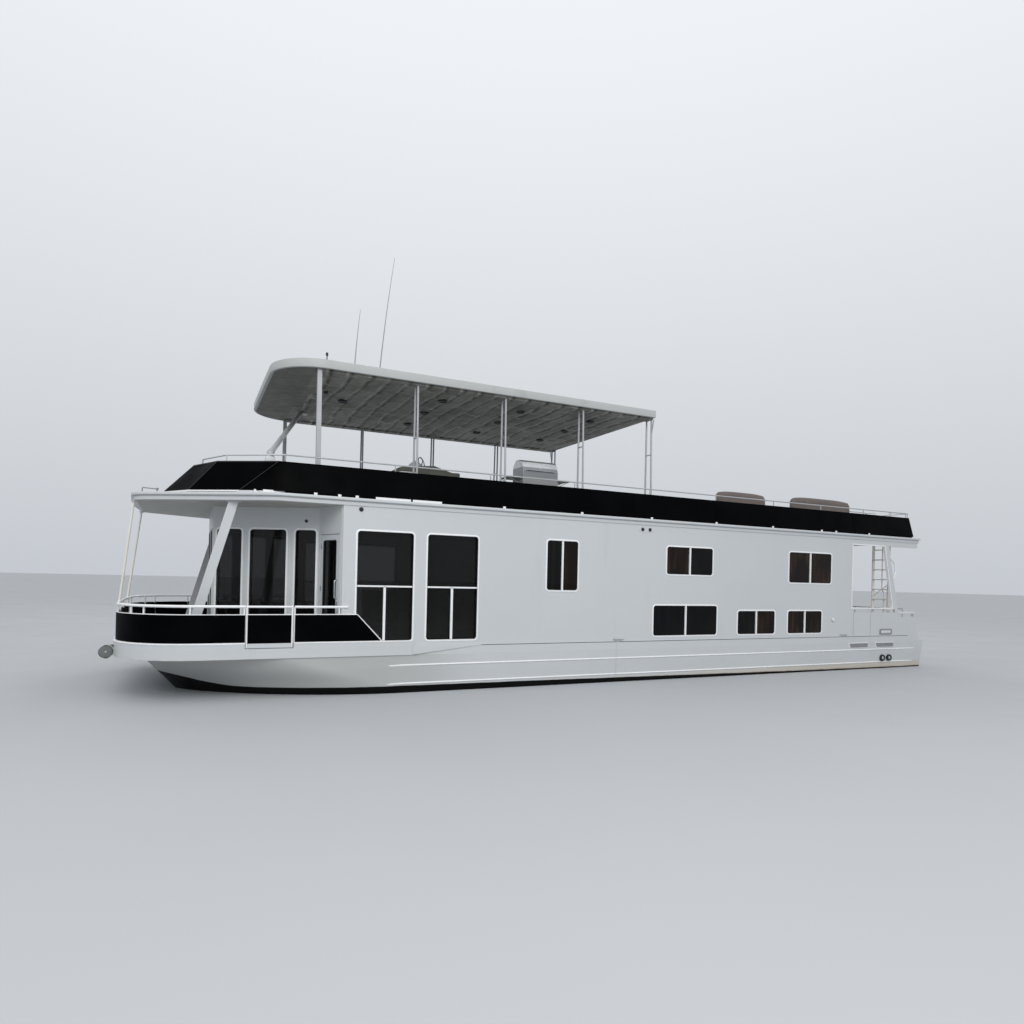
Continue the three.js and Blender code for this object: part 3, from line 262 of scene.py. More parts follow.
def piece(name, shape, material, body="boat", slot=None, bevel=0.0, angle=32, stands_for=()):
    """Makes the shape a mesh that rides on a body; the slot argument is not used."""
    mesh = bpy.data.meshes.new(name)
    mesh.from_pydata([tuple(p) for p in shape.points], [], shape.faces)
    tidy = bmesh.new()
    tidy.from_mesh(mesh)
    bmesh.ops.remove_doubles(tidy, verts=tidy.verts, dist=2e-5)
    bmesh.ops.recalc_face_normals(tidy, faces=tidy.faces)
    tidy.to_mesh(mesh)
    tidy.free()
    mesh.polygons.foreach_set("use_smooth", [True] * len(mesh.polygons))
    mesh.set_sharp_from_angle(angle=math.radians(angle))
    mesh.materials.append(material)
    thing = bpy.data.objects.new(name, mesh)
    bpy.context.scene.collection.objects.link(thing)
    if bevel:
        edge = thing.modifiers.new("edge", "BEVEL")
        edge.width, edge.segments, edge.limit_method = bevel, 2, "ANGLE"
        edge.angle_limit = math.radians(40)
    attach(thing, body)
    if stands_for:
        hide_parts(*stands_for)
    return thing


def both(name, shape, material, body="boat", stands_for=None, **options):
    """The piece on the port side, and its mirror image to starboard."""
    made = []
    for side in ("port", "starboard"):
        own = shape if side == "port" else shape.mirrored()
        nodes = [f"{side}_{stands_for}"] if stands_for else []
        rides = body.format(side=side)
        made.append(piece(f"{side}_{name}", own, material, rides, stands_for=nodes, **options))
    return made


# Materials
def node(tree, kind, inputs=None, **settings):
    made = tree.nodes.new(kind)
    for key, value in settings.items():
        setattr(made, key, value)
    for key, value in (inputs or {}).items():
        if isinstance(value, bpy.types.NodeSocket):
            tree.links.new(value, made.inputs[key])
        else:
            made.inputs[key].default_value = value
    return made


class Finish:
    """A procedural material in the object's own metres, mixed up from noise."""

    def __init__(self, name, **sockets):
        self.material = bpy.data.materials.new(name)
        self.material.use_nodes = True
        self.tree = self.material.node_tree
        self.shader = self.tree.nodes["Principled BSDF"]
        for key, value in sockets.items():
            self.shader.inputs[key.replace("_", " ")].default_value = value
        self.place = node(self.tree, "ShaderNodeTexCoord").outputs["Object"]
        self.height = None

    def stretched(self, scale):
        made = node(self.tree, "ShaderNodeMapping", {"Vector": self.place, "Scale": scale})
        return made.outputs["Vector"]

    def noise(self, scale, detail=3.0, stretch=(1, 1, 1)):
        made = node(self.tree, "ShaderNodeTexNoise",
                    {"Vector": self.stretched(stretch), "Scale": scale, "Detail": detail})
        return made.outputs["Fac"]

    def range(self, value, low, high, to_low=0.0, to_high=1.0):
        made = node(self.tree, "ShaderNodeMapRange", {
            "Value": value, "From Min": low, "From Max": high, "To Min": to_low, "To Max": to_high},
            interpolation_type="SMOOTHSTEP")
        return made.outputs["Result"]

    def maths(self, kind, a, b):
        made = node(self.tree, "ShaderNodeMath", {0: a, 1: b}, operation=kind)
        return made.outputs[0]

    def mix(self, share, a, b):
        made = node(self.tree, "ShaderNodeMix", {0: share}, data_type="RGBA")
        for index, value in ((6, a), (7, b)):
            if isinstance(value, bpy.types.NodeSocket):
                self.tree.links.new(value, made.inputs[index])
            else:
                made.inputs[index].default_value = (*value, 1)
        return made.outputs[2]

    def axis(self, name):
        made = node(self.tree, "ShaderNodeSeparateXYZ", {"Vector": self.place})
        return made.outputs[name]

    def paint(self, colour):
        self.tree.links.new(colour, self.shader.inputs["Base Color"])
        return self

    def rough(self, value, low, high):
        self.tree.links.new(self.range(value, 0.3, 0.7, low, high), self.shader.inputs["Roughness"])
        return self

    def bump(self, value, distance, strength=1.0):
        inputs = {"Height": value, "Distance": distance, "Strength": strength}
        if self.height:
            inputs["Normal"] = self.height
        self.height = node(self.tree, "ShaderNodeBump", inputs).outputs["Normal"]
        self.tree.links.new(self.height, self.shader.inputs["Normal"])
        return self


# Plain finishes: the sockets, then the paint's noise scale, detail and two colours, the roughness's scale,
# detail, low and high, and each bump's scale, detail, distance and strength
PLAIN_FINISHES = {
    # painted highlight: the walls' white paint, made much brighter for rails, strakes, trims and frames that
    # catch the light
    "highlit_white_paint": (dict(IOR=1.5), (2.2, 4, (0.78, 0.79, 0.79), (0.87, 0.88, 0.88)),
        (10, 4, 0.2, 0.36), [(160, 2, 0.0002, 0.4)]),
    # a cream white: partly its own warmer tone, partly painted highlight, brighter than the walls for tubes
    # and posts that catch the light
    "highlit_cream_paint": (dict(IOR=1.5), (2.2, 4, (0.76, 0.74, 0.66), (0.86, 0.84, 0.76)),
        (10, 4, 0.25, 0.4), [(160, 2, 0.0002, 0.4)]),
    "frame_paint": (dict(IOR=1.45), (2.5, 4, (0.33, 0.34, 0.35), (0.47, 0.48, 0.49)),
        (12, 4, 0.3, 0.5), [(160, 2, 0.0002, 0.4)]),
    "porch_paint": (dict(IOR=1.45), (0.8, 4, (0.40, 0.40, 0.37), (0.47, 0.47, 0.44)),
        (4, 3, 0.4, 0.55), [(2, 2, 0.003, 0.4)]),
    "dark_cover": (dict(Sheen_Weight=0.1, Sheen_Roughness=0.6),
        (3.5, 4, (0.075, 0.077, 0.060), (0.16, 0.165, 0.135)),
        (9, 4, 0.6, 0.85), [(5, 3, 0.006, 0.5), (220, 2, 0.0004, 0.6)]),
    "rubber": (dict(IOR=1.4), (14, 5, (0.11, 0.12, 0.115), (0.19, 0.20, 0.19)),
        (20, 4, 0.7, 0.9), [(180, 3, 0.0006, 0.6)]),
    "dark_plastic": (dict(IOR=1.45), (20, 4, (0.010, 0.010, 0.011), (0.022, 0.022, 0.024)),
        (25, 3, 0.35, 0.55), [(320, 2, 0.0002, 0.5)]),
    "grey_plastic": (dict(IOR=1.45), (12, 4, (0.22, 0.23, 0.24), (0.30, 0.31, 0.32)),
        (25, 3, 0.35, 0.5), [(300, 2, 0.0002, 0.5)]),
    "console_plastic": (dict(IOR=1.47, Coat_Weight=0.3, Coat_Roughness=0.15),
        (2, 4, (0.60, 0.62, 0.62), (0.68, 0.70, 0.70)),
        (8, 3, 0.25, 0.4), [(90, 2, 0.0003, 0.3)]),
    "cabinet_grey": (dict(IOR=1.45), (3, 4, (0.24, 0.245, 0.25), (0.31, 0.315, 0.32)),
        (12, 3, 0.4, 0.6), [(150, 3, 0.0004, 0.5)]),
    "drive_enamel": (dict(IOR=1.5), (5, 5, (0.035, 0.036, 0.04), (0.065, 0.067, 0.072)),
        (9, 4, 0.3, 0.5), [(60, 3, 0.0006, 0.5)]),
}


def plain(name):
    """A finish of the table."""
    sockets, (*paint, dark, light), (*rough, low, high), bumps = PLAIN_FINISHES[name]
    made = Finish(name, **sockets)
    made.paint(made.mix(made.noise(*paint), dark, light))
    made.rough(made.noise(*rough), low, high)
    for *bump, distance, strength in bumps:
        made.bump(made.noise(*bump), distance, strength)
    return made.material


def white_paint():
    made = Finish("white_paint", IOR=1.45)
    drift = made.noise(0.5, 4)
    streaks = made.noise(2.4, 5, (1, 1, 0.12))
    clean = made.mix(drift, (0.53, 0.555, 0.568), (0.585, 0.605, 0.61))
    dulled = made.mix(made.range(streaks, 0.60, 0.80, 0, 0.35), clean, (0.48, 0.50, 0.505))
    made.paint(dulled).rough(made.noise(3.0, 4), 0.28, 0.42)
    made.bump(made.noise(1.1, 2), 0.004, 0.5).bump(made.noise(160, 2), 0.0002, 0.4)
    return made.material


def hull_paint():
    made = Finish("hull_paint", IOR=1.45, Specular_IOR_Level=0.15)
    x, z = made.axis("X"), made.axis("Z")
    wobble = made.range(made.noise(2.0, 4), 0.0, 1.0, -0.007, 0.007)
    level = made.maths("ADD", made.range(x, -9.5, 7.7, 0.03, 0.144), made.range(x, 7.9, 9.7, 0.0, 0.235))
    boot = made.maths("ADD", level, wobble)
    above = made.range(made.maths("SUBTRACT", z, boot), -0.006, 0.006)
    white = made.mix(made.noise(0.6, 4), (0.53, 0.55, 0.56), (0.595, 0.615, 0.625))
    # painted shade: from station 5.6 forward, the hull under the bow's overhang is painted greyer, most of
    # all forward of station 3.4
    forward = made.range(x, 3.4, 5.6)
    bow_overhang_shade = made.mix(made.noise(0.9, 5), (0.37, 0.38, 0.365), (0.46, 0.47, 0.455))
    side = made.mix(made.maths("MULTIPLY", forward, 0.75), white, bow_overhang_shade)
    top = made.range(x, 4.0, -9.0, 0.13, 0.20)
    drip = made.range(made.noise(2.6, 4, (1, 1, 0.25)), 0.2, 0.8, -0.025, 0.025)
    low = made.range(made.maths("SUBTRACT", z, made.maths("ADD", top, drip)), 0.03, -0.05)
    stain = made.maths("MULTIPLY", low, made.range(x, 3.0, -8, 0.1, 0.8))
    tan = made.mix(made.noise(1.2, 4), (0.50, 0.45, 0.36), (0.60, 0.56, 0.47))
    rust = made.range(made.maths("SUBTRACT", z, boot), 0.035, 0.0)
    rust = made.maths("MULTIPLY", rust, made.range(made.noise(3.0, 4, (1, 1, 0.2)), 0.35, 0.6, 0.2, 1.0))
    tan = made.mix(rust, tan, (0.30, 0.17, 0.075))
    stained = made.mix(stain, side, tan)
    black = made.mix(made.noise(2.5, 5), (0.0008, 0.0009, 0.001), (0.003, 0.003, 0.003))
    made.paint(made.mix(above, black, stained)).rough(made.noise(2.0, 4), 0.30, 0.50)
    made.bump(made.noise(0.9, 2), 0.006, 0.5).bump(made.noise(120, 2), 0.0003, 0.4)
    return made.material


def black_panel():
    made = Finish("black_panel", IOR=1.4, Specular_IOR_Level=0.03)
    dust = made.range(made.noise(1.3, 5), 0.35, 0.75)
    made.paint(made.mix(dust, (0.0006, 0.0007, 0.0009), (0.0016, 0.0018, 0.0022)))
    made.rough(made.noise(2.2, 4), 0.38, 0.55)
    made.bump(made.noise(1.6, 2), 0.003, 0.4).bump(made.noise(220, 2), 0.0002, 0.5)
    return made.material


def dark_glass(name, low, high):
    """Tinted panes; the brown ones have brown patches in upright streaks."""
    made = Finish(name, IOR=1.5, Roughness=0.03, Specular_IOR_Level=0.17)
    patches = made.range(made.noise(1.7, 3, (1, 1, 0.6)), 0.40, 0.66)
    upright_streaks = made.range(made.noise(9, 2, (1, 1, 0.08)), 0.3, 0.7)
    made.paint(made.mix(made.maths("MULTIPLY", patches, upright_streaks), low, high))
    made.bump(made.noise(0.8, 1), 0.0015, 0.25)
    return made.material


def saloon_glass():
    made = Finish("saloon_glass", IOR=1.5, Roughness=0.02, Alpha=0.62, Specular_IOR_Level=0.35)
    made.paint(made.mix(made.noise(1.2, 3), (0.002, 0.0024, 0.0022), (0.006, 0.0058, 0.005)))
    made.bump(made.noise(0.7, 1), 0.002, 0.3)
    return made.material


def canopy_paint():
    made = Finish("canopy_paint", IOR=1.4)
    streaks = made.range(made.noise(3.0, 5, (1, 1, 0.2)), 0.55, 0.8)
    base = made.mix(made.noise(0.7, 4), (0.40, 0.415, 0.41), (0.47, 0.485, 0.475))
    made.paint(made.mix(made.maths("MULTIPLY", streaks, 0.4), base, (0.31, 0.32, 0.315)))
    made.rough(made.noise(4, 4), 0.45, 0.65).bump(made.noise(1.4, 3), 0.003, 0.5)
    return made.material


def canopy_lining():
    made = Finish("canopy_lining", IOR=1.4)
    x, y = made.axis("X"), made.axis("Y")
    sway = made.range(made.noise(0.55, 2), 0.2, 0.8, -0.10, 0.10)
    along = made.maths("ADD", x, sway)
    across = made.maths("ADD", y, made.range(made.noise(0.8, 3), 0.2, 0.8, -0.30, 0.30))

    def welts(shift):
        """The staggered welts that hold the lining up along the canopy; their pattern places the painted
        highlight and shadow lines.
        """
        shifted = made.maths("ADD", along, shift)
        place = node(made.tree, "ShaderNodeCombineXYZ", {"X": across, "Y": shifted})
        brick = node(made.tree, "ShaderNodeTexBrick", {
            "Vector": place.outputs["Vector"], "Scale": 1.0, "Mortar Size": 0.055, "Mortar Smooth": 1.0,
            "Brick Width": 0.62, "Row Height": WELT_SPACING}, offset=0.5)
        return brick.outputs["Fac"]

    # the lining's tone varies at random, and its lighter patches are painted light on the bulges between the
    # welts
    tone_and_bulge_light = made.range(made.noise(1.7, 5, (1, 0.6, 1)), 0.36, 0.68)
    base = made.mix(tone_and_bulge_light, (0.15, 0.148, 0.13), (0.24, 0.238, 0.215))
    broken = made.range(made.noise(2.6, 4), 0.36, 0.58, 0.2, 1.0)
    # painted highlight and shadow: a light line on each welt's crest, and a dark line 85 mm from it for the
    # welt's shadow
    ribs = made.maths("MULTIPLY", welts(0.0), broken)
    faded = made.range(made.noise(2.1, 4), 0.34, 0.6, 0.4, 1.0)
    shade = made.maths("MULTIPLY", welts(0.085), faded)
    base = made.mix(made.maths("MULTIPLY", shade, 0.9), base, (0.035, 0.034, 0.028))
    base = made.mix(made.maths("MULTIPLY", ribs, 0.9), base, (0.36, 0.36, 0.335))
    front = made.range(x, 6.76, 6.80)
    made.paint(made.mix(front, base, made.mix(tone_and_bulge_light, (0.135, 0.14, 0.122), (0.165, 0.17, 0.15))))
    made.rough(made.noise(6, 4), 0.5, 0.75)
    creases = made.maths("MULTIPLY", ribs, made.range(x, 6.80, 6.76))
    made.bump(creases, 0.03, 0.7).bump(made.noise(70, 2), 0.0008, 0.5)
    return made.material


def steel():
    made = Finish("steel", Metallic=1.0)
    made.paint(made.mix(made.noise(6, 4), (0.55, 0.56, 0.57), (0.68, 0.69, 0.70)))
    made.rough(made.noise(30, 3, (0.1, 1, 1)), 0.16, 0.34)
    made.bump(made.noise(260, 2, (0.2, 1, 1)), 0.0001, 0.5)
    return made.material


def lid_steel():
    made = Finish("lid_steel", Metallic=0.85)
    # painted shade: below about 4.72 m the hood is painted dark grey for the shade on its lower side; above
    # that it keeps the steel's bright colour
    band = made.range(made.axis("Z"), 4.715, 4.735)
    bright = made.mix(made.noise(4, 4), (0.62, 0.63, 0.64), (0.72, 0.73, 0.74))
    made.paint(made.mix(band, (0.30, 0.31, 0.32), bright))
    made.rough(made.noise(30, 3, (0.1, 1, 1)), 0.25, 0.38)
    made.bump(made.noise(260, 2, (0.2, 1, 1)), 0.0001, 0.4)
    return made.material


def non_skid():
    made = Finish("non_skid", IOR=1.4)
    worn = made.mix(made.noise(1.1, 5), (0.36, 0.37, 0.37), (0.45, 0.46, 0.455))
    made.paint(made.mix(made.range(made.noise(0.5, 4), 0.55, 0.75, 0, 0.4), worn, (0.27, 0.27, 0.26)))
    made.rough(made.noise(9, 4), 0.6, 0.85)
    cells = node(made.tree, "ShaderNodeTexVoronoi", {"Vector": made.place, "Scale": 85.0})
    made.bump(cells.outputs["Distance"], 0.0016, 0.8)
    return made.material


def vinyl():
    made = Finish("seat_vinyl", IOR=1.45)
    made.paint(made.mix(made.noise(3, 4), (0.50, 0.49, 0.45), (0.58, 0.57, 0.53)))
    made.rough(made.noise(30, 4), 0.4, 0.6)
    cells = node(made.tree, "ShaderNodeTexVoronoi", {"Vector": made.place, "Scale": 260.0})
    made.bump(cells.outputs["Distance"], 0.0004, 0.6).bump(made.noise(12, 2), 0.002, 0.3)
    return made.material


def sling_fabric(name, dark, light):
    made = Finish(name, Sheen_Weight=0.25, Sheen_Roughness=0.5)
    warp = node(made.tree, "ShaderNodeTexWave", {"Vector": made.place, "Scale": 55.0},
                wave_type="BANDS", bands_direction="X").outputs["Fac"]
    weft = node(made.tree, "ShaderNodeTexWave", {"Vector": made.place, "Scale": 55.0},
                wave_type="BANDS", bands_direction="Y").outputs["Fac"]
    weave = made.maths("MULTIPLY", warp, weft)
    base = made.mix(made.noise(2.5, 4), dark, light)
    made.paint(made.mix(made.range(weave, 0.0, 0.8, 0.0, 0.5), base, tuple(0.65 * v for v in dark)))
    made.rough(made.noise(8, 3), 0.75, 0.95).bump(weave, 0.0012, 0.7)
    return made.material


def wood():
    made = Finish("cabin_wood", IOR=1.45)
    grain = made.noise(3, 6, (1, 1, 9))
    made.paint(made.mix(made.range(grain, 0.35, 0.65), (0.06, 0.026, 0.012), (0.17, 0.085, 0.042)))
    made.rough(made.noise(10, 3), 0.3, 0.45).bump(grain, 0.0006, 0.5)
    return made.material


def lamp_lens():
    made = Finish("lamp_lens", IOR=1.5, Coat_Weight=0.6, Coat_Roughness=0.05)
    ribs = node(made.tree, "ShaderNodeTexWave", {"Vector": made.place, "Scale": 60.0}).outputs["Fac"]
    made.paint(made.mix(made.noise(30, 3), (0.62, 0.64, 0.66), (0.78, 0.80, 0.82)))
    made.rough(made.noise(20, 2), 0.1, 0.25).bump(ribs, 0.0008, 0.5)
    return made.material


WHITE = white_paint()
# painted highlight: brightened white for rails, trims and edges
HIGHLIT_WHITE = plain("highlit_white_paint")
# cream white with painted highlight, for posts and ladder tubes
HIGHLIT_CREAM = plain("highlit_cream_paint")
FRAME = plain("frame_paint")
PORCH = plain("porch_paint")
HULL = hull_paint()
BLACK = black_panel()
GLASS = dark_glass("dark_glass", (0.0012, 0.0014, 0.0014), (0.0060, 0.0062, 0.0048))
BROWN_GLASS = dark_glass("brown_glass", (0.0060, 0.0032, 0.0020), (0.036, 0.021, 0.012))
CLEAR = saloon_glass()
CANOPY = canopy_paint()
LINING = canopy_lining()
STEEL = steel()
LID_STEEL = lid_steel()
RUBBER = plain("rubber")
DARK = plain("dark_plastic")
GREY = plain("grey_plastic")
CONSOLE = plain("console_plastic")
NON_SKID = non_skid()
CABINET = plain("cabinet_grey")
VINYL = vinyl()
SLING = sling_fabric("sofa_fabric", (0.125, 0.10, 0.09), (0.19, 0.155, 0.14))
RED = sling_fabric("red_fabric", (0.20, 0.07, 0.05), (0.28, 0.10, 0.075))
WOOD = wood()
ENAMEL = plain("drive_enamel")
LENS = lamp_lens()
COVER = plain("dark_cover")


def finish_frame():
    """The CAD nodes whose shape is right get their materials."""
    finishes = {
        "white_paint": WHITE, "hull_paint": HULL, "black_panel": BLACK, "tinted_glass": CLEAR,
        "canopy_paint": CANOPY, "roller_rubber": RUBBER, "antenna_plastic": GREY, "helm_plastic": CONSOLE,
        "polished_steel": STEEL, "seat_leather": VINYL, "grill_paint": CABINET, "sofa_fabric": SLING,
        "drive_metal": ENAMEL,
    }
    slots = {row["node"]: row["material_slot"] for row in frame["record"]["subparts"]}
    for name, thing in NODES.items():
        finish = HIGHLIT_CREAM if name.endswith("bow_post") else finishes[slots[name]]
        for place in thing.material_slots:
            place.material = finish


# Hull
# Each slice: height, half breadth, half the flat bow, nose station, bow length, fullness and transom
HULL_SLICES = [
    (-0.50, 0.70, 0.04, 2.20, 3.5, 0.70, 18.90),
    (-0.37, 2.15, 0.30, 1.20, 4.2, 0.65, 18.95),
    (-0.20, 2.93, 0.80, 0.42, 4.2, 0.72, 19.00),
    (0.00, 2.99, 1.07, -0.08, 4.0, 0.78, 19.04),
    (0.25, 3.01, 1.13, -0.30, 3.6, 0.76, 19.06),
    (0.48, 3.03, 1.20, -0.507, 3.0, 0.74, 19.08),
    (HULL_TOP_Z, 3.04, 1.27, -0.725, 2.5, 0.72, HULL_AFT_STATION),
]
DRIVE_Y = 1.0
DRIVE_PIN_STATION = 19.2
LUG_HEIGHTS = ((-0.095, -0.06), (0.13, 0.165))


def hull_slice(z):
    """The slice at a height, between the listed ones."""
    levels = [row[0] for row in HULL_SLICES]
    above = next((i for i, level in enumerate(levels) if level >= z - 1e-9), len(levels) - 1)
    above = max(above, 1)
    low, high = HULL_SLICES[above - 1], HULL_SLICES[above]
    share = (z - low[0]) / (high[0] - low[0])
    return [a + (b - a) * share for a, b in zip(low, high)]


def hull_side(z, steps=40):
    """Port points of a slice, from the stem to the transom."""
    _, half, flat, nose, bow, full, transom = hull_slice(z)
    line = [(at(nose), 0, z)]
    for i in range(steps + 1):
        angle = math.pi / 2 * i / steps
        width = flat + (half - flat) * math.sin(angle) ** (2 * full)
        line.append((at(nose + bow * (1 - math.cos(angle))), width, z))
    return line + [(at(s), half, z) for s in (8.0, 12.0, 16.0, transom)]


def hull():
    levels = [row[0] for row in HULL_SLICES]
    fine = []
    for low, high in zip(levels, levels[1:]):
        fine += [low + (high - low) * k / 4 for k in range(4)]
    fine.append(levels[-1])
    rows = []
    for z in fine:
        port = hull_side(z)
        rows.append(port + [(x, -y, z) for x, y, _ in port[:0:-1]])
    shape = Shape().solid(rows)
    for sign in (1, -1):
        for heights in LUG_HEIGHTS:
            shape.block((at(DRIVE_PIN_STATION + 0.06), at(18.9)),
                        (sign * DRIVE_Y - 0.07, sign * DRIVE_Y + 0.07), heights)
    piece("hull_shell", shape, HULL, stands_for=["hull"], angle=24)


STRAKE_START = 3.45


def strakes():
    """Two raised ribs pressed into each side of the hull."""
    for name, z in (("lower", 0.18), ("upper", 0.53)):
        _, half, flat, nose, bow, full, transom = hull_slice(z)
        stations = [STRAKE_START + (transom - 0.25 - STRAKE_START) * k / 40 for k in range(41)]
        shape = Shape()
        rows = []
        for k, s in enumerate(stations):
            share = min(1.0, max(0.0, (s - nose) / bow))
            y = flat + (half - flat) * math.sin(math.acos(1 - share)) ** (2 * full)
            proud = 0.020 * min(1.0, k / 2 + 0.1, (40 - k) / 2 + 0.1)
            turns = arc_points(7, -math.pi / 2, math.pi / 2)
            rows.append([(at(s), y - 0.004 + proud * math.cos(t), z + 0.018 * math.sin(t)) for t in turns])
        shape.solid(rows)
        both(f"{name}_strake", shape, HIGHLIT_WHITE)


# Main deck's edge, and what stands on it
BAND_Y = 3.06
BOW_NOSE_STATION = -1.11
BOW_CORNER_STATION = -1.04
BOW_CORNER_RADIUS = 1.3


def bow_line(inset, aft, arcs=16):
    """The bow's plan from the port side round to starboard, open at its aft ends."""
    radius = BOW_CORNER_RADIUS - inset
    y = BAND_Y - inset
    port = [((at(aft), y), 0), ((at(BOW_CORNER_STATION + inset), y), radius),
            ((at(BOW_NOSE_STATION + inset), 0), 0)]
    starboard = [((x, -width), r) for (x, width), r in port[-2::-1]]
    return rounded(port + starboard, arcs)


def deck_edge():
    """The proud lower band, a thin cap on the toe rail, and the band's taper aft."""
    front = [(*p, 0) for p in bow_line(0.002, 4.0)[::-1]]
    band = [(0.0, 0.732), (0.012, 0.738), (0.016, 0.75), (0.016, 0.886), (0.010, 0.897), (-0.004, 0.9)]
    shape = Shape().sweep(front, [(-u, v) for u, v in band])
    edge = piece("bow_band", shape, WHITE, angle=25)
    for sign in (1, -1):
        span = sorted((sign * 1.88, sign * 2.01))
        carve(edge, Shape().block((at(-1.0), at(-1.3)), span, (0.6, 0.96)))
    rows = []
    for k in range(13):
        share = k / 12
        x, low, wide = at(3.99 + 1.45 * share), 0.732 + 0.16 * share, 3.074 - 0.03 * share
        rows.append([(x, 3.035, low), (x, wide, low), (x, wide, 0.897), (x, 3.035, 0.9)])
    both("band_taper", Shape().solid(rows), WHITE, bevel=0.004)
    inset = 0.024
    end_x, y = at(GATE_STATIONS[0] - GATE_GAP), BAND_Y - inset
    bow = [(*p, TOE_TOP_Z) for p in bow_line(inset, 4.0) if p[0] > end_x]
    path = [(end_x, y, TOE_TOP_Z), *bow, (end_x, -y, TOE_TOP_Z)]
    round_top = [(0.03 * math.cos(t), 0.004 + 0.012 * math.sin(t)) for t in arc_points(9, 0, math.pi)]
    round_top += [(-0.03, -0.004), (0.03, -0.004)]
    piece("toe_cap", Shape().sweep(path, round_top), HIGHLIT_WHITE)
    side = [(at(GATE_STATIONS[1] + GATE_GAP), y, TOE_TOP_Z), (at(3.98), y, TOE_TOP_Z)]
    both("side_toe_cap", Shape().sweep(side, round_top), HIGHLIT_WHITE)


def deck_coverings():
    """Thin non-skid sheets on the decks."""
    lift = 0.003
    on_deck = (DECK_Z - 0.001, DECK_Z + lift)
    fore = [(p.x, p.y) for p in bow_line(0.062, 2.62)]
    piece("fore_deck_covering", Shape().plate(fore, on_deck), NON_SKID)
    aft = oblong(at(16.22), at(18.34), -2.9, 2.9)
    piece("aft_deck_covering", Shape().plate(aft, on_deck), NON_SKID)
    step = Shape().plate([(at(18.5), -2.86), (at(19.09), -2.98), (at(19.09), 2.98), (at(18.5), 2.86)],
                         (0.759, 0.763))
    piece("swim_platform_covering", step, NON_SKID)
    hatch_fore, hatch_side = UPPER_HATCH[0] - HATCH_MARGIN, UPPER_HATCH[2] - HATCH_MARGIN
    upper = Shape()
    wide, fine = 2.72, (ROOF_TOP_Z - 0.001, ROOF_TOP_Z + lift)
    upper.plate([(at(hatch_fore), -wide), (at(hatch_fore), wide), (at(1.6), wide), (at(0.5), 2.0),
                 (at(-0.15), 1.3), (at(-0.15), -1.3), (at(0.5), -2.0), (at(1.6), -wide)], fine)
    upper.plate([(at(18.35), -wide), (at(18.35), hatch_side), (at(hatch_fore - 0.001), hatch_side),
                 (at(hatch_fore - 0.001), -wide)], fine)
    piece("upper_deck_covering", upper, NON_SKID)


def rail_path(inset, z, aft, arcs=16):
    return [(*p, z) for p in bow_line(inset, aft, arcs)]


def bow_rail():
    """Black skirt, white trims and pipe rail round the bow, with their posts."""
    end = GATE_STATIONS[0] - GATE_GAP
    inset = BAND_Y - SKIRT_FACE_Y
    low, high = SKIRT
    section = [(0, low), (0, high), (0.020, high), (0.020, low)]
    skirt = Shape().sweep(rail_path(inset, 0, end), section)
    piece("bow_skirt", skirt, BLACK, stands_for=["bow_rail"], angle=25)
    trims = Shape()
    for z in (1.490, 1.004):
        turns = arc_points(8)[:-1]
        section = [(0.010 + 0.014 * math.cos(t), 0.009 * math.sin(t)) for t in turns]
        trims.sweep(rail_path(inset, z, end), section)
    piece("bow_skirt_trim", trims, HIGHLIT_WHITE)
    rail = Shape().tube(rail_path(inset + 0.026, RAIL_Z, end + 0.004, 16), 0.024)
    stays = Shape()
    for sign in (1, -1):
        for s, y, radius in ((end - 0.016, 2.996, 0.015), (0.13, 2.996, 0.015), (-0.57, 2.679, 0.015),
                             (-0.77, 2.447, 0.022), (-1.009, 1.70, 0.015), (-1.024, 1.05, 0.015)):
            rail.post(at(s), sign * y, (1.47, RAIL_Z), radius)
            rail.turned((at(s), sign * y, RAIL_Z - 0.03), [(0, 0.02), (0.03, 0.026)], 12)
            stays.post(at(s) - 0.004, sign * (y - 0.004), (0.99, 1.50), 0.013, 8)
        rail.block((at(-1.068), at(-1.012)), (sign * 1.05 - 0.028, sign * 1.05 + 0.028), (RAIL_Z, 1.654))
    rail.post(at(-1.044), 0, (1.47, RAIL_Z), 0.015)
    piece("bow_pipe_rail", rail, HIGHLIT_WHITE)
    piece("bow_rail_stays", stays, STEEL, slot="white_paint")


def side_rails():
    """Black panel with a slanted aft end, its white tube, the posts and the pipe rail."""
    start = GATE_STATIONS[1] + GATE_GAP
    panel = Shape().side_plate([(start + 0.02, SKIRT[0]), (3.385, SKIRT[0]), (2.925, SKIRT[1]),
                                (start + 0.02, SKIRT[1])], (SKIRT_FACE_Y - 0.02, SKIRT_FACE_Y))
    both("side_skirt", panel, BLACK, stands_for="side_rail", bevel=0.003)
    tubes = Shape()
    y = SKIRT_FACE_Y - 0.026
    tubes.tube(bent([(at(start + 0.02), y, 1.49), (at(2.93), y, 1.49), (at(3.40), y, 0.995)], 0.04), 0.013)
    tubes.tube([(at(start + 0.02), y, 1.004), (at(3.38), y, 1.004)], 0.010)
    for s in (start + 0.016, 2.60):
        tubes.post(at(s), y - 0.010, (0.99, RAIL_Z), 0.015)
    tubes.tube(bent([(at(start + 0.016), y, RAIL_Z), (at(2.72), y, RAIL_Z),
                     (at(2.76), HALF_BEAM - 0.002, RAIL_Z)], 0.02), 0.023)
    both("side_pipe_rail", tubes, HIGHLIT_WHITE)


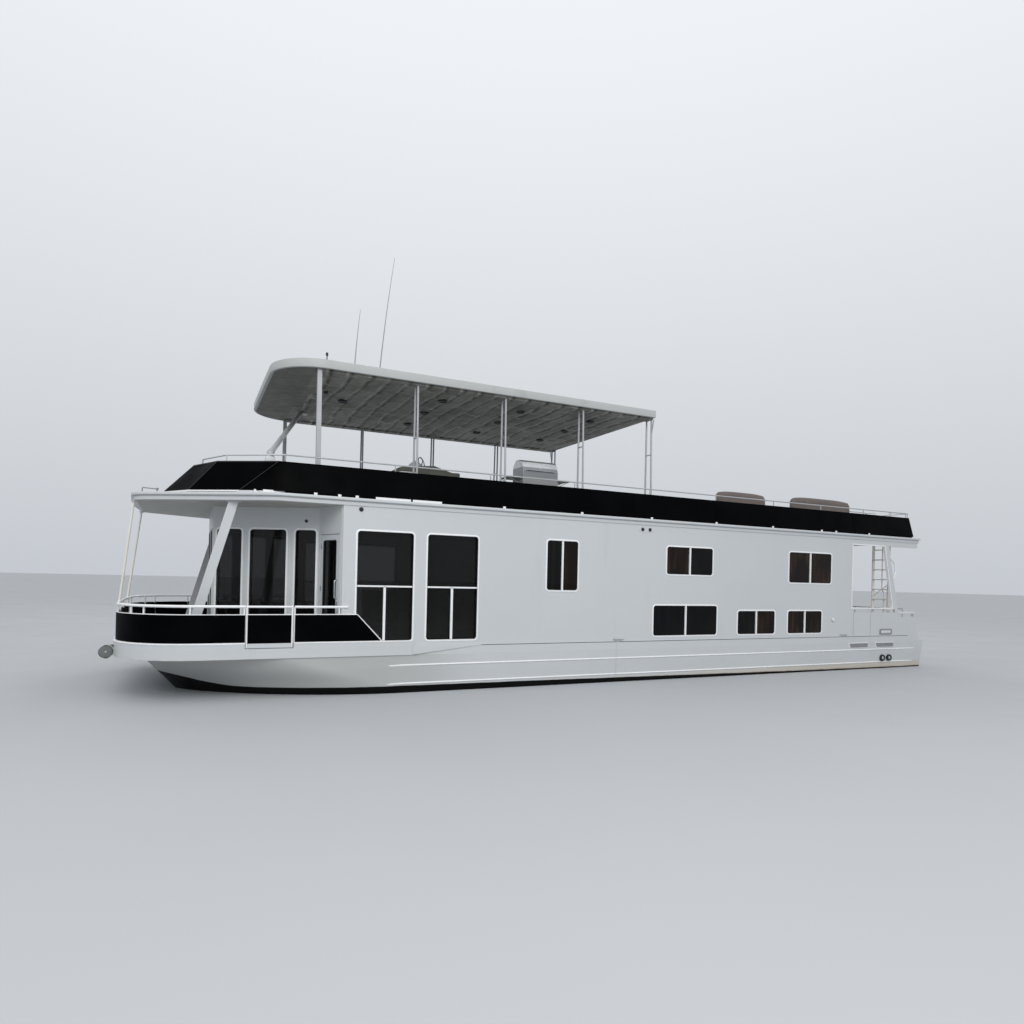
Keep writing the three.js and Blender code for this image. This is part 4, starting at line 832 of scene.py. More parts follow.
def gates():
    """Side gates: a black panel over a white one, in a white tube frame."""
    s0, s1 = GATE_STATIONS
    y = SKIRT_FACE_Y
    body = "{side}_gate_leaf"
    panel = Shape().side_plate(oblong(s0 + 0.03, s1 - 0.03, *SKIRT), (y - 0.022, y - 0.002))
    both("gate_panel", panel, BLACK, body, stands_for="gate", bevel=0.003)
    white = Shape().side_plate(oblong(s0 + 0.03, s1 - 0.03, 0.915, 0.990), (y - 0.024, y))
    both("gate_toe_panel", white, WHITE, body, bevel=0.003)
    tubes = Shape()
    middle = y - 0.014
    for s in (s0 + 0.015, s1 - 0.015):
        tubes.post(at(s), middle, (0.914, RAIL_Z + 0.016), 0.015)
        tubes.turned((at(s), middle, RAIL_Z + 0.012), [(0, 0.016), (0.008, 0.014), (0.012, 0.006)], 12)
    for z, radius in ((RAIL_Z, 0.020), (1.49, 0.011), (0.918, 0.010)):
        tubes.tube([(at(s0 + 0.015), middle, z), (at(s1 - 0.015), middle, z)], radius)
    both("gate_frame", tubes, HIGHLIT_WHITE, body)
    latch = Shape().block((at(s1 - 0.07), at(s1 - 0.02)), (y - 0.052, y - 0.024), (1.36, 1.44))
    latch.tube(bent([(at(s1 - 0.06), y - 0.05, 1.40), (at(s1 - 0.06), y - 0.075, 1.40),
                     (at(s1 - 0.14), y - 0.075, 1.40)], 0.01), 0.006)
    for z in (1.08, 1.40):
        latch.barrel((at(s0 + 0.012), y - 0.030, z - 0.04), 0.08, 0.009)
    both("gate_hardware", latch, STEEL, body)


def bow_rollers():
    """Turned rubber rollers, and their bolted brackets' axle ends."""
    y, x, z = 1.95, at(-1.165), 0.8
    profile = [(0, 0.04), (0, 0.092), (0.008, 0.106), (0.02, 0.108), (0.03, 0.101), (0.045, 0.101),
               (0.055, 0.108), (0.067, 0.106), (0.075, 0.092), (0.075, 0.04)]
    shape = Shape().lathe((x, y - 0.04, z), (0, 1, 0), profile, 32)
    shape.lathe((x, y - 0.036, z), (0, 1, 0),
                [(0, 0.0152), (0, 0.045), (0.067, 0.045), (0.067, 0.0152)], 24)
    both("roller_wheel", shape, RUBBER, "{side}_roller", stands_for="bow_roller")
    ends = Shape()
    ends.lathe((x, y - 0.067, z), (0, -1, 0), [(0, 0.022), (0.006, 0.022), (0.010, 0.016)], 6)
    for u, v in ((-0.09, 0.04), (-0.09, -0.04)):
        ends.lathe((x + u - 0.03, y - 0.0641, z + v), (0, -1, 0), [(0, 0.011), (0.008, 0.011)], 6)
    both("roller_bolts", ends, STEEL)


def feet_and_brackets():
    """Base plates of the porch pillars and bow posts, and their heads under the roof."""
    shape = Shape().block((at(0.083) - 0.125, at(0.083) + 0.125), (2.325, 2.475), (0.902, 0.912))
    for s, y, long, wide in ((0.80, 2.4, 0.25, 0.15), (-0.83, 1.3, 0.10, 0.10)):
        shape.block((at(s) - long / 2, at(s) + long / 2), (y - wide / 2, y + wide / 2), (3.482, 3.498))
    both("porch_plates", shape, WHITE, bevel=0.003)


# Walls and windows
class Wall:
    """An upright wall in plan from start to end, with its outside to the left of that run."""

    def __init__(self, start, end):
        self.start = Vector((*start, 0))
        self.along = (Vector((*end, 0)) - self.start).normalized()
        self.out = Vector((-self.along.y, self.along.x, 0))

    def point(self, u, z, depth=0.0):
        return self.start + self.along * u + self.out * depth + Vector((0, 0, z))

    def ring(self, hole, radius, depth=0.0, arcs=6):
        """A round-cornered rectangle's path, anticlockwise seen from outside."""
        u0, u1, z0, z1 = hole
        corners = oblong(u0, u1, z0, z1)
        if self.along.cross(Vector(UP)).dot(self.out) < 0:
            corners.reverse()
        return rounded([(self.point(u, z, depth), radius) for u, z in corners], arcs)

    def slab(self, shape, hole, radius, depths):
        rings = [self.ring(hole, radius, depth, 5) for depth in depths]
        return shape.solid(rings)

    def bar(self, shape, u, z, depths):
        return self.slab(shape, (u[0], u[1], z[0], z[1]), 0, depths)


FRONT_CORNERS = [(at(2.64), 2.999), (at(2.36), 2.14), (at(0.52), 1.08)]
SIDE = Wall((0, HALF_BEAM), (1, HALF_BEAM))
DOOR_WALL = Wall(FRONT_CORNERS[0], FRONT_CORNERS[1])
WINDOW_WALL = Wall(FRONT_CORNERS[1], FRONT_CORNERS[2])
FRONT_WALL = Wall(FRONT_CORNERS[2], (FRONT_CORNERS[2][0], -FRONT_CORNERS[2][1]))
AFT_WALL = Wall((at(16.20), -1), (at(16.20), 1))

# Each window has its fore and aft stations, sill and head
TALL_WINDOWS = [(2.905, 3.985, 0.995, 3.045), (4.265, 5.322, 1.00, 3.042)]
# The last letters say which panes, forward and aft, are brown
SMALL_WINDOWS = [
    ("galley", (6.89, 7.64, 2.00, 3.05), "a"),
    ("lower_forward", (9.66, 11.52, 1.00, 1.69), ""),
    ("upper_forward", (10.01, 11.36, 2.41, 3.045), "f"),
    ("lower_middle", (12.18, 13.40, 1.00, 1.57), "a"),
    ("lower_aft", (13.85, 15.06, 1.00, 1.57), "fa"),
    ("upper_aft", (13.86, 15.38, 2.29, 3.065), "fa"),
]
WINDOW_CORNER = 0.06
FRAME_SECTION = [(-0.003, -0.045), (-0.003, 0.004), (0.001, 0.009), (0.024, 0.009), (0.030, 0.006),
                 (0.032, 0.0), (0.001, 0.0), (0.0, -0.045)]
GASKET_SECTION = [(-0.014, -0.030), (-0.014, -0.008), (-0.010, -0.003), (-0.002, -0.003), (-0.002, -0.030)]


def window_frame(wall, hole, frames, gaskets):
    path = wall.ring(hole, WINDOW_CORNER)
    frames.sweep(path, FRAME_SECTION, up=wall.out, closed=True)
    gaskets.sweep(path, GASKET_SECTION, up=wall.out, closed=True)


def side_windows():
    """Framed windows along the sides: two panes each with a white bar between them."""
    for name, (s0, s1, z0, z1), brown in SMALL_WINDOWS:
        frames, gaskets, forward, aft = Shape(), Shape(), Shape(), Shape()
        hole = (at(s1), at(s0), z0, z1)
        window_frame(SIDE, hole, frames, gaskets)
        middle = (hole[0] + hole[1]) / 2
        SIDE.bar(frames, (middle - 0.020, middle + 0.020), (z0 + 0.002, z1 - 0.002), (-0.030, 0.004))
        SIDE.slab(aft, (hole[0] + 0.008, middle, z0 + 0.008, z1 - 0.008), 0.03, (-0.024, -0.016))
        SIDE.slab(forward, (middle, hole[1] - 0.008, z0 + 0.008, z1 - 0.008), 0.03, (-0.030, -0.022))
        both(f"{name}_window_frame", frames, HIGHLIT_WHITE)
        both(f"{name}_window_gasket", gaskets, DARK, slot="roller_rubber")
        for place, pane in (("forward", forward), ("aft", aft)):
            both(f"{name}_{place}_pane", pane, BROWN_GLASS if place[0] in brown else GLASS)


def saloon_windows():
    """Frames and gaskets of the tall windows on the sides and round the cabin front."""
    frames, gaskets = Shape(), Shape()
    for s0, s1, z0, z1 in TALL_WINDOWS:
        window_frame(SIDE, (at(s1), at(s0), z0, z1), frames, gaskets)
        middle = at(s0) - (s1 - s0) / 2 + 0.008
        SIDE.bar(frames, (middle - 0.022, middle + 0.022), (z0, 2.022), (-0.036, -0.004))
        SIDE.bar(frames, (at(s1), at(s0)), (2.007, 2.037), (-0.036, -0.004))
    for u0, u1 in ((0.06, 0.47), (0.65, 1.376), (1.54, 2.04)):
        window_frame(WINDOW_WALL, (u0, u1, 1.02, 3.07), frames, gaskets)
    both("saloon_window_frames", frames, HIGHLIT_WHITE)
    both("saloon_window_gaskets", gaskets, DARK, slot="roller_rubber")
    frames, gaskets = Shape(), Shape()
    for u0, u1 in ((0.12, 1.02), (1.14, 2.04)):
        window_frame(FRONT_WALL, (u0, u1, 1.02, 3.07), frames, gaskets)
    piece("front_window_frames", frames, WHITE)
    piece("front_window_gaskets", gaskets, DARK, slot="roller_rubber")


def aft_windows():
    frames, gaskets, panes = Shape(), Shape(), Shape()
    for y in (0.8, -1.9):
        hole = (y + 1, y + 2.1, 1.9, 2.97)
        window_frame(AFT_WALL, hole, frames, gaskets)
        middle = (hole[0] + hole[1]) / 2
        AFT_WALL.bar(frames, (middle - 0.02, middle + 0.02), (1.902, 2.968), (-0.03, 0.004))
        AFT_WALL.slab(panes, (hole[0] + 0.008, hole[1] - 0.008, 1.908, 2.962), 0.03, (-0.024, -0.016))
    piece("aft_window_frames", frames, WHITE)
    piece("aft_window_gaskets", gaskets, DARK, slot="roller_rubber")
    piece("aft_window_glass", panes, GLASS)


def saloon_inside():
    """What shows faintly through the saloon's glass: floor, wood bulkhead, counter and ceiling."""
    floor = [(at(2.75), 2.1), (at(0.72), 0.98), (at(0.72), -0.98), (at(2.75), -2.1), (at(2.75), -2.9),
             (at(6.1), -2.9), (at(6.1), 2.9), (at(2.75), 2.9)]
    piece("saloon_floor", Shape().plate(floor, (0.9005, 0.912)), WOOD)
    bulkhead = Shape().block((at(6.16), at(6.10)), (-2.92, 2.92), INSIDE_Z)
    bulkhead.block((at(4.15), at(4.11)), (1.6, 2.90), INSIDE_Z)
    piece("saloon_bulkhead", bulkhead, WOOD, bevel=0.004)
    counter = Shape().block((at(6.09), at(4.4)), (-2.9, -2.2), (0.92, 1.85))
    counter.block((at(6.09), at(5.3)), (0.3, 1.6), (0.92, 1.90))
    piece("saloon_counter", counter, WOOD, bevel=0.01)
    ceiling = Shape().plate(floor, (3.470, 3.490))
    piece("saloon_ceiling", ceiling, PORCH)


# Doors: the panes, gaskets, handles and hinges that ride on each leaf
DOOR_FROM, DOOR_TO = 0.13, 0.83
DOOR_LOW, DOOR_TOP = 0.916, 2.97
HINGE_INSET = 0.012
DOOR_GAP = 0.008


def door_parts(wall, span, handle_at, hinge_at, thick=0.045):
    low, high = DOOR_LOW + 0.184, DOOR_TOP - 0.11
    hole = (span[0] + 0.11, span[1] - 0.11, low, high)
    panes, seals, steel = Shape(), Shape(), Shape()
    for depth in ((-0.017, -0.012), (-0.032, -0.027)):
        wall.slab(panes, (hole[0] - 0.005, hole[1] + 0.005, low - 0.005, high + 0.005), 0.04, depth)
    path = wall.ring(hole, 0.04)
    seals.sweep(path, [(-0.012, -0.014), (-0.012, 0.001), (-0.006, 0.004), (0.006, 0.004), (0.010, 0.0),
                       (0.0, -0.014)], up=wall.out, closed=True)
    for depth in (0.055, -thick - 0.055):
        face = 0.0 if depth > 0 else -thick
        grip = [(1.78, face), (1.78, depth), (2.12, depth), (2.12, face)]
        steel.tube(bent([wall.point(handle_at, z, out) for z, out in grip], 0.03), 0.011)
    wall.slab(steel, (handle_at - 0.022, handle_at + 0.022, 1.60, 1.72), 0.008, (0.0, 0.006))
    for z in (1.15, 1.95, 2.75):
        steel.barrel(wall.point(hinge_at, z - 0.05, -0.002), 0.10, 0.008)
        wall.slab(steel, (hinge_at - 0.03, hinge_at + 0.002, z - 0.045, z + 0.045), 0.003, (-0.001, 0.003))
    return panes, seals, steel


def door_frame(wall, span):
    """Two jambs and a head round a door's opening."""
    jamb, top, depths = Shape(), DOOR_TOP + DOOR_GAP, (-0.001, 0.010)
    for u in (span[0] - 0.034, span[1] + 0.002):
        wall.bar(jamb, (u, u + 0.032), (0.902, top + 0.034), depths)
    wall.bar(jamb, (span[0] - 0.034, span[1] + 0.034), (top + 0.002, top + 0.034), depths)
    return jamb


def doors():
    span = (DOOR_FROM, DOOR_TO)
    panes, seals, steel = door_parts(DOOR_WALL, span, span[0] + 0.055, span[1] - HINGE_INSET)
    body = "{side}_front_door_leaf"
    both("front_door_glass", panes, GLASS, body)
    both("front_door_seal", seals, DARK, body, slot="roller_rubber")
    both("front_door_hardware", steel, STEEL, body)
    jamb = door_frame(DOOR_WALL, (DOOR_FROM - DOOR_GAP, DOOR_TO + DOOR_GAP))
    both("front_door_frame", jamb, WHITE, bevel=0.003)
    span = (1 - 0.375, 1 + 0.375)
    panes, seals, steel = door_parts(AFT_WALL, span, span[0] + 0.055, span[1] - HINGE_INSET)
    body = "aft_door_leaf"
    piece("aft_door_glass", panes, GLASS, body)
    piece("aft_door_seal", seals, DARK, body, slot="roller_rubber")
    piece("aft_door_hardware", steel, STEEL, body)
    jamb = door_frame(AFT_WALL, (1 - 0.383, 1 + 0.383))
    piece("aft_door_frame", jamb, WHITE, bevel=0.003)


# Roof
ROOF_HALF = [(-0.95, 0, 0), (-0.87, 1.54, 0.5), (1.43, 3.06, 0.7), (ROOF_AFT_STATION, 3.06, 0.06)]


def roof_outline(inset):
    """The roof's plan, drawn in by an inset."""
    half = [(ROOF_HALF[0][0] + inset, 0, 0), (ROOF_HALF[1][0] + inset, 1.54 - inset * 0.5, 0.5 - inset),
            (1.43 + inset * 0.4, 3.06 - inset, 0.7 - inset),
            (ROOF_AFT_STATION - inset, 3.06 - inset, 0.06 - inset)]
    return whole_plan(half, 10)


def carve(thing, cutter):
    """Cuts a closed shape out of a piece."""
    tool = bpy.data.objects.new("cutter", bpy.data.meshes.new("cutter"))
    tool.data.from_pydata([tuple(p) for p in cutter.points], [], cutter.faces)
    bpy.context.scene.collection.objects.link(tool)
    change = thing.modifiers.new("cut", "BOOLEAN")
    change.operation, change.solver, change.object = "DIFFERENCE", "EXACT", tool
    bpy.context.view_layer.update()
    made = bpy.data.meshes.new_from_object(thing.evaluated_get(bpy.context.evaluated_depsgraph_get()))
    thing.modifiers.clear()
    thing.data = made
    bpy.data.objects.remove(tool)
    made.set_sharp_from_angle(angle=math.radians(32))


def upper_deck():
    """The roof slab with an upper lip, a shadow line and a lower fascia."""
    profile = [(3.500, 0.052), (3.504, 0.044), (3.562, 0.040), (3.568, 0.050), (3.582, 0.050),
               (3.586, 0.010), (3.592, 0.002), (3.600, 0.0), (3.630, 0.0), (3.637, 0.003), (3.640, 0.010)]
    rows = [[(p.x, p.y, z) for p in roof_outline(inset)] for z, inset in profile]
    slab = piece("roof_slab", Shape().solid(rows), WHITE, stands_for=["upper_deck", "aft_roof"])
    s0, s1, y0, y1 = UPPER_HATCH
    carve(slab, Shape().block((at(s1), at(s0)), (y0, y1), HATCH_CUT))
    path = [(x, y, ROOF_TOP_Z) for x, y in oblong(at(s0), at(s1), y0, y1)[::-1]]
    section = [(-0.003, -0.13), (-0.003, 0.02), (0.022, 0.02), (0.022, 0.001), (0.0, -0.13)]
    rim = Shape().sweep(path, section, closed=True)
    piece("hatch_rim", rim, WHITE, bevel=0.002)
    porch = [(at(2.60), 2.93), (at(2.60), -2.93), (at(1.6), -2.93), (at(-0.78), -1.4), (at(-0.80), 0),
             (at(-0.78), 1.4), (at(1.6), 2.93)]
    piece("porch_ceiling", Shape().plate(porch, CEILING), PORCH)
    aft = oblong(at(16.22), at(18.85), -2.92, 2.92)
    over = piece("aft_deck_ceiling", Shape().plate(aft, CEILING), PORCH)
    carve(over, Shape().block((at(s1), at(s0)), (y0, y1), HATCH_CUT))


# Coaming
COAMING_FRONT = [((-0.34, 1.45), (0.15, 1.40)), ((0.06, 2.045), (0.52, 2.20)),
                 ((0.88, 2.60), (1.50, 2.83))]
COAMING_FOOT_Y, COAMING_TOP_Y = 2.95, 2.83
COAMING_AFT_STATION = 18.75
RAIL_SETBACK = 0.16
STANCHIONS = [1.62, 3.65, 5.65, 7.65, 9.65, 11.61, 13.5, 15.2, 16.85, 18.7]
COAMING_THICK = 0.02


def coaming_skin(foot, top, thick=COAMING_THICK):
    """A leaning wall over its foot and top lines on the port side, thickened inboard."""
    inward = Vector((0, -thick, 0))
    rows = [[Vector(low), Vector(high), Vector(high) + inward, Vector(low) + inward]
            for low, high in zip(foot, top)]
    return Shape().solid(rows)


def lifted(points, z):
    return [(at(s), y, z) for s, y in points]


def front_coaming():
    """Five black facets round the front of the upper deck."""
    feet = [c[0] for c in COAMING_FRONT]
    tops = [c[1] for c in COAMING_FRONT]
    foot_line = [(s, -y) for s, y in feet[::-1]] + feet
    top_line = [(s, -y) for s, y in tops[::-1]] + tops
    foot, top = lifted(foot_line, COAMING_LOW_Z), lifted(top_line, COAMING_TOP_Z)
    rows = []
    for low, high in zip(foot, top):
        back = Vector((-0.019, -0.006 * (1 if low[1] > 0 else -1), 0))
        low, high = Vector(low), Vector(high)
        rows.append([low, high, high + back, low + back])
    piece("front_coaming_skin", Shape().solid(rows), BLACK, stands_for=["front_coaming"], angle=8)
    trims = Shape()
    for low, high in zip(foot, top):
        trims.tube([Vector(low) + Vector((0.002, 0, 0)), Vector(high) + Vector((0.002, 0, 0))], 0.006, 8)
    trims.tube([Vector(p) + Vector((-0.008, 0, 0.002)) for p in top], 0.013, 10)
    piece("front_coaming_trim", trims, DARK)
    batten = Shape().tube([Vector(p) + Vector((0.005, 0, -0.012)) for p in foot], 0.014, 8)
    piece("front_coaming_batten", batten, HIGHLIT_WHITE)
    rail_points = [Vector((at(s) - RAIL_SETBACK, y * 0.985, UPPER_RAIL_Z)) for s, y in top_line]
    join = Vector((at(1.62), COAMING_TOP_Y - 0.05, UPPER_RAIL_Z))
    path = [Vector((join.x, -join.y, join.z)), *rail_points[1:-1], join]
    rail = Shape().tube(bent(path, 0.10, 4), 0.015)
    for p in rail_points[1:-1]:
        rail.post(p.x, p.y, (ROOF_TOP_Z, UPPER_RAIL_Z), 0.012, 10)
        rail.flange((p.x, p.y, ROOF_TOP_Z), 0.035, 0.018, 16)
        rail.tube([(p.x, p.y, 4.17), (p.x + RAIL_SETBACK + 0.02, p.y, 4.17)], 0.009, 8)
    piece("front_upper_rail", rail, WHITE)


def side_coamings():
    foot = lifted([(0.884, 2.603), (1.02, 2.69), (1.15, 2.76), (1.30, 2.825), (1.45, 2.88), (1.65, 2.93),
                   (1.85, COAMING_FOOT_Y), (COAMING_AFT_STATION, COAMING_FOOT_Y)], COAMING_LOW_Z)
    top_stations = (1.504, 1.54, 1.58, 1.64, 1.70, 1.80, 1.90, COAMING_AFT_STATION - 0.04)
    top = lifted([(s, COAMING_TOP_Y) for s in top_stations], COAMING_TOP_Z)
    skin = coaming_skin(foot, top)
    both("side_coaming_skin", skin, BLACK, stands_for="side_coaming", angle=8)
    trims = Shape().tube([Vector(p) + Vector((0, -0.010, 0.002)) for p in top], 0.013, 10)
    seams = 7
    for k in range(1, seams):
        s = 1.9 + (COAMING_AFT_STATION - 1.9) * k / seams
        trims.tube([(at(s), COAMING_FOOT_Y + 0.001, COAMING_LOW_Z),
                    (at(s), COAMING_TOP_Y + 0.001, COAMING_TOP_Z)], 0.0035, 6)
    both("side_coaming_trim", trims, BLACK)
    y = COAMING_TOP_Y - 0.05
    rail = Shape().tube([(at(s), y, UPPER_RAIL_Z) for s in (STANCHIONS[0], STANCHIONS[-1])], 0.0135)
    posts = Shape()
    for s in STANCHIONS:
        rail.post(at(s), y, (4.10, UPPER_RAIL_Z), 0.012, 10)
        if s > STANCHIONS[0]:
            rail.tube([(at(s), y, 4.10), (at(s), COAMING_TOP_Y + 0.004, 4.10)], 0.008, 8)
        posts.square(at(s), y, 0.02, (ROOF_TOP_Z, 4.16))
        posts.square(at(s), y, 0.05, (ROOF_TOP_Z, ROOF_TOP_Z + 0.008))
    both("side_pipe_upper_rail", rail, FRAME, stands_for="upper_rail")
    both("side_rail_posts", posts, WHITE, bevel=0.003)
    shade = Shape().block((at(18.70), at(1.62)), (COAMING_FOOT_Y - 0.022, COAMING_FOOT_Y - 0.010),
                          (ROOF_TOP_Z, COAMING_LOW_Z + 0.01))
    both("coaming_gap_strip", shade, BLACK)
    feet = Shape()
    long_feet = ((1.25, 1.61), (3.24, 3.92), (3.96, 4.55))
    short_feet = (2.14, 2.57, 2.89, 5.90, 7.75, 9.60, 11.50, 13.33, 15.06, 15.60, 16.89)
    for s0, s1 in (*long_feet, *[(s - 0.03, s + 0.03) for s in short_feet]):
        y = COAMING_FOOT_Y if s0 > 1.7 else 2.865
        feet.block((at(s1), at(s0)), (y - 0.009, y + 0.003), (ROOF_TOP_Z, COAMING_LOW_Z + 0.012))
    feet.block((at(1.19), at(1.11)), (2.70, 2.752), (ROOF_TOP_Z, COAMING_LOW_Z + 0.02))
    both("coaming_feet", feet, HIGHLIT_WHITE, bevel=0.002)


def aft_coaming():
    y, s = COAMING_TOP_Y - 0.07, COAMING_AFT_STATION - 0.06
    skin = Shape().block((at(s + COAMING_THICK), at(s)), (-y, y), (COAMING_LOW_Z, COAMING_TOP_Z))
    piece("aft_coaming_skin", skin, BLACK, stands_for=["aft_coaming"], bevel=0.003)
    rail = Shape().tube([(at(s - 0.02), side, UPPER_RAIL_Z) for side in (-y, y)], 0.015)
    posts = Shape()
    for i in range(4):
        place = -y + 0.02 + (2 * y - 0.04) * i / 3
        rail.post(at(s - 0.012), place, (4.1, UPPER_RAIL_Z), 0.012, 10)
        posts.square(at(s - 0.012), place, 0.014, (ROOF_TOP_Z, 4.16))
    piece("aft_upper_rail", rail, WHITE)
    piece("aft_rail_posts", posts, WHITE, bevel=0.003)


# Canopy
CANOPY_AFT_STATION = 9.96
LINING_STATIONS = (1.50, CANOPY_AFT_STATION - 0.04)
LINING_GRID = (210, 60)
# The lining hangs smooth up to here, and in welts from here aft
WELTS_FROM_STATION = 2.15
DEEPEST_FOLD = 0.034
FRAME_STATIONS = [2.25, 4.18, 6.12, 8.04, 9.915]
FRAME_Y = 2.48
FRAME_INNER = 0.24
FRAME_LEAN = 0.06
RUNG_SHARE = 0.65


def canopy_outline(inset):
    return whole_plan([(1.435 + inset, 0, 0), (1.445 + inset, CANOPY_HALF - inset, 0.95 - inset),
                       (CANOPY_AFT_STATION - inset, CANOPY_HALF - inset, 0.03)], 16)


def canopy_half(s, inset):
    """The canopy's half breadth at a station."""
    radius = 0.95 - inset
    back = 1.445 + inset + radius - s
    return CANOPY_HALF - inset - radius + math.sqrt(radius * radius - max(back, 0) ** 2)


def canopy():
    """A shell with rounded edges over a wrinkled lining, with its lights and seams."""
    profile = [(0.0, 0.030), (0.001, 0.012), (0.008, 0.002), (0.020, 0.0), (0.150, 0.0), (0.163, 0.004),
               (0.169, 0.014), (0.170, 0.030)]
    rows = [[(p.x, p.y, CANOPY_LOW_Z + rise) for p in canopy_outline(inset)] for rise, inset in profile]
    piece("canopy_shell", Shape().solid(rows), CANOPY, stands_for=["canopy"], angle=40)
    low, top = [], []
    count, across = LINING_GRID
    first, last = LINING_STATIONS
    under = CANOPY_LOW_Z - 0.001
    for i in range(count + 1):
        s = first + (last - first) * i / count
        half = canopy_half(s, 0.035)
        row = []
        for j in range(across + 1):
            y = half * (2 * j / across - 1)
            soft = min(1.0, (1 - abs(2 * j / across - 1)) * 12, i / 3, (count - i) / 3)
            aft = min(1.0, max(0.0, (s - WELTS_FROM_STATION) / 0.12))
            bend = 0.10 * noise.noise(Vector((s * 0.5, y * 0.5, 1.3)))
            phase = ((s - WELTS_FROM_STATION - 0.05 + bend) / WELT_SPACING + 0.5) % 1.0 - 0.5
            rib = math.exp(-phase ** 2 / 0.010)
            fold = noise.fractal(Vector((s * 2.6, y * 1.3, 3.7)), 0.8, 2.1, 4)
            drop = 0.003 + 0.016 * aft * rib + (0.003 + 0.012 * aft) * max(0.0, fold + 0.2)
            row.append((at(s), y, under - min(DEEPEST_FOLD, drop) * soft))
        low.append(row)
        top.append([(p[0], p[1], CANOPY_LOW_Z + 0.0005) for p in row])
    piece("canopy_lining", closed_grid(low, top), LINING, angle=60)
    rims, lenses = Shape(), Shape()
    places = [(3.11, 0.34, 1.0), (2.64, 0.90, 0.45)]
    places += [(s, y, 1.0) for s in (5.03, 6.92, 8.80) for y in (1.50, 0.25, -1.10)]
    for s, y, size in places:
        rims.lathe((at(s), y, CANOPY_LOW_Z - 0.006), (0, 0, -1),
                   [(0, 0.10 * size), (0.034, 0.10 * size), (0.040, 0.092 * size), (0.034, 0.070 * size),
                    (0.020, 0.060 * size)], 24)
        lenses.lathe((at(s), y, CANOPY_LOW_Z - 0.01), (0, 0, -1),
                     [(0, 0.066 * size), (0.016, 0.066 * size), (0.022, 0.04 * size)], 20)
    piece("canopy_light_rims", rims, DARK)
    piece("canopy_light_lenses", lenses, DARK)
    seams = Shape()
    for s in (3.9, 6.0, 8.1):
        seams.block((at(s) - 0.012, at(s) + 0.012), (-2.49, 2.49),
                    (CANOPY_TOP_Z - 0.0005, CANOPY_TOP_Z + 0.004))
    piece("canopy_top_seams", seams, CANOPY, bevel=0.001)
    foot = (at(2.40), 2.30, CANOPY_TOP_Z)
    light = Shape().tube([foot, (at(2.40), 2.30, 6.39)], 0.010, 10)
    light.turned((at(2.40), 2.30, 6.39), [(0, 0.014), (0.004, 0.024), (0.05, 0.024), (0.06, 0.018),
                                          (0.064, 0.008)], 18)
    light.flange(foot, 0.045, 0.02, 18, 0.008, 0.014)
    piece("anchor_light", light, DARK, slot="antenna_plastic")


def closed_grid(low, high):
    """A closed slab between a lower and an upper grid of points."""
    tall, wide = len(low), len(low[0])
    size = tall * wide
    shape = Shape()
    shape.points = [Vector(p) for grid in (low, high) for row in grid for p in row]
    for i in range(tall - 1):
        for j in range(wide - 1):
            a = i * wide + j
            shape.faces.append((a, a + 1, a + wide + 1, a + wide))
            shape.faces.append((a + size, a + size + wide, a + size + wide + 1, a + size + 1))
    rim = ([(0, j) for j in range(wide)] + [(i, wide - 1) for i in range(1, tall)]
           + [(tall - 1, j) for j in range(wide - 2, -1, -1)] + [(i, 0) for i in range(tall - 2, 0, -1)])
    for (i, j), (k, m) in zip(rim, rim[1:] + rim[:1]):
        a, b = i * wide + j, k * wide + m
        shape.faces.append((a, a + size, b + size, b))
    return shape


def canopy_frames():
    """A square front post, then four pairs of tubes with a rung, under a side beam."""
    low, top = ROOF_TOP_Z, CANOPY_LOW_Z
    shape = Shape()
    s = FRAME_STATIONS[0]
    corners = oblong(-0.0425, 0.0425, -0.0425, 0.0425)
    shape.solid([[(at(s) + u, y + v, z) for u, v in corners]
                 for z, y in ((low, FRAME_Y), (top, FRAME_Y - FRAME_LEAN))])
    shape.square(at(s), FRAME_Y, 0.07, (low, low + 0.012))
    both("canopy_front_post", shape, FRAME, stands_for="canopy_posts", bevel=0.006)
    tubes = Shape()
    inner = FRAME_Y - FRAME_INNER
    for i, s in enumerate(FRAME_STATIONS[1:]):
        tubes.tube([(at(s), FRAME_Y, low), (at(s), FRAME_Y - FRAME_LEAN, top)], 0.021, 14)
        tubes.post(at(s), inner, (low, top), 0.021, 14)
        share = 0.56 if i == 0 else RUNG_SHARE
        rung = low + (top - low) * share
        tubes.tube([(at(s), FRAME_Y - FRAME_LEAN * share, rung), (at(s), inner, rung)], 0.013, 10)
        for y in (FRAME_Y, inner):
            tubes.turned((at(s), y, low), [(0, 0.05), (0.008, 0.05), (0.012, 0.032), (0.03, 0.026)], 18)
    last = at(FRAME_STATIONS[-1])
    tubes.tube([(last, FRAME_Y - 0.045, 5.70), (last, FRAME_Y + 0.035, 6.04)], [0.012, 0.016], 10)
    both("canopy_tube_frames", tubes, FRAME)
    beam = Shape().block((at(9.93), at(2.21)), (inner - 0.02, FRAME_Y - 0.02),
                         (CANOPY_LOW_Z - 0.038, CANOPY_LOW_Z - 0.001))
    both("canopy_side_beam", beam, LINING, bevel=0.006)


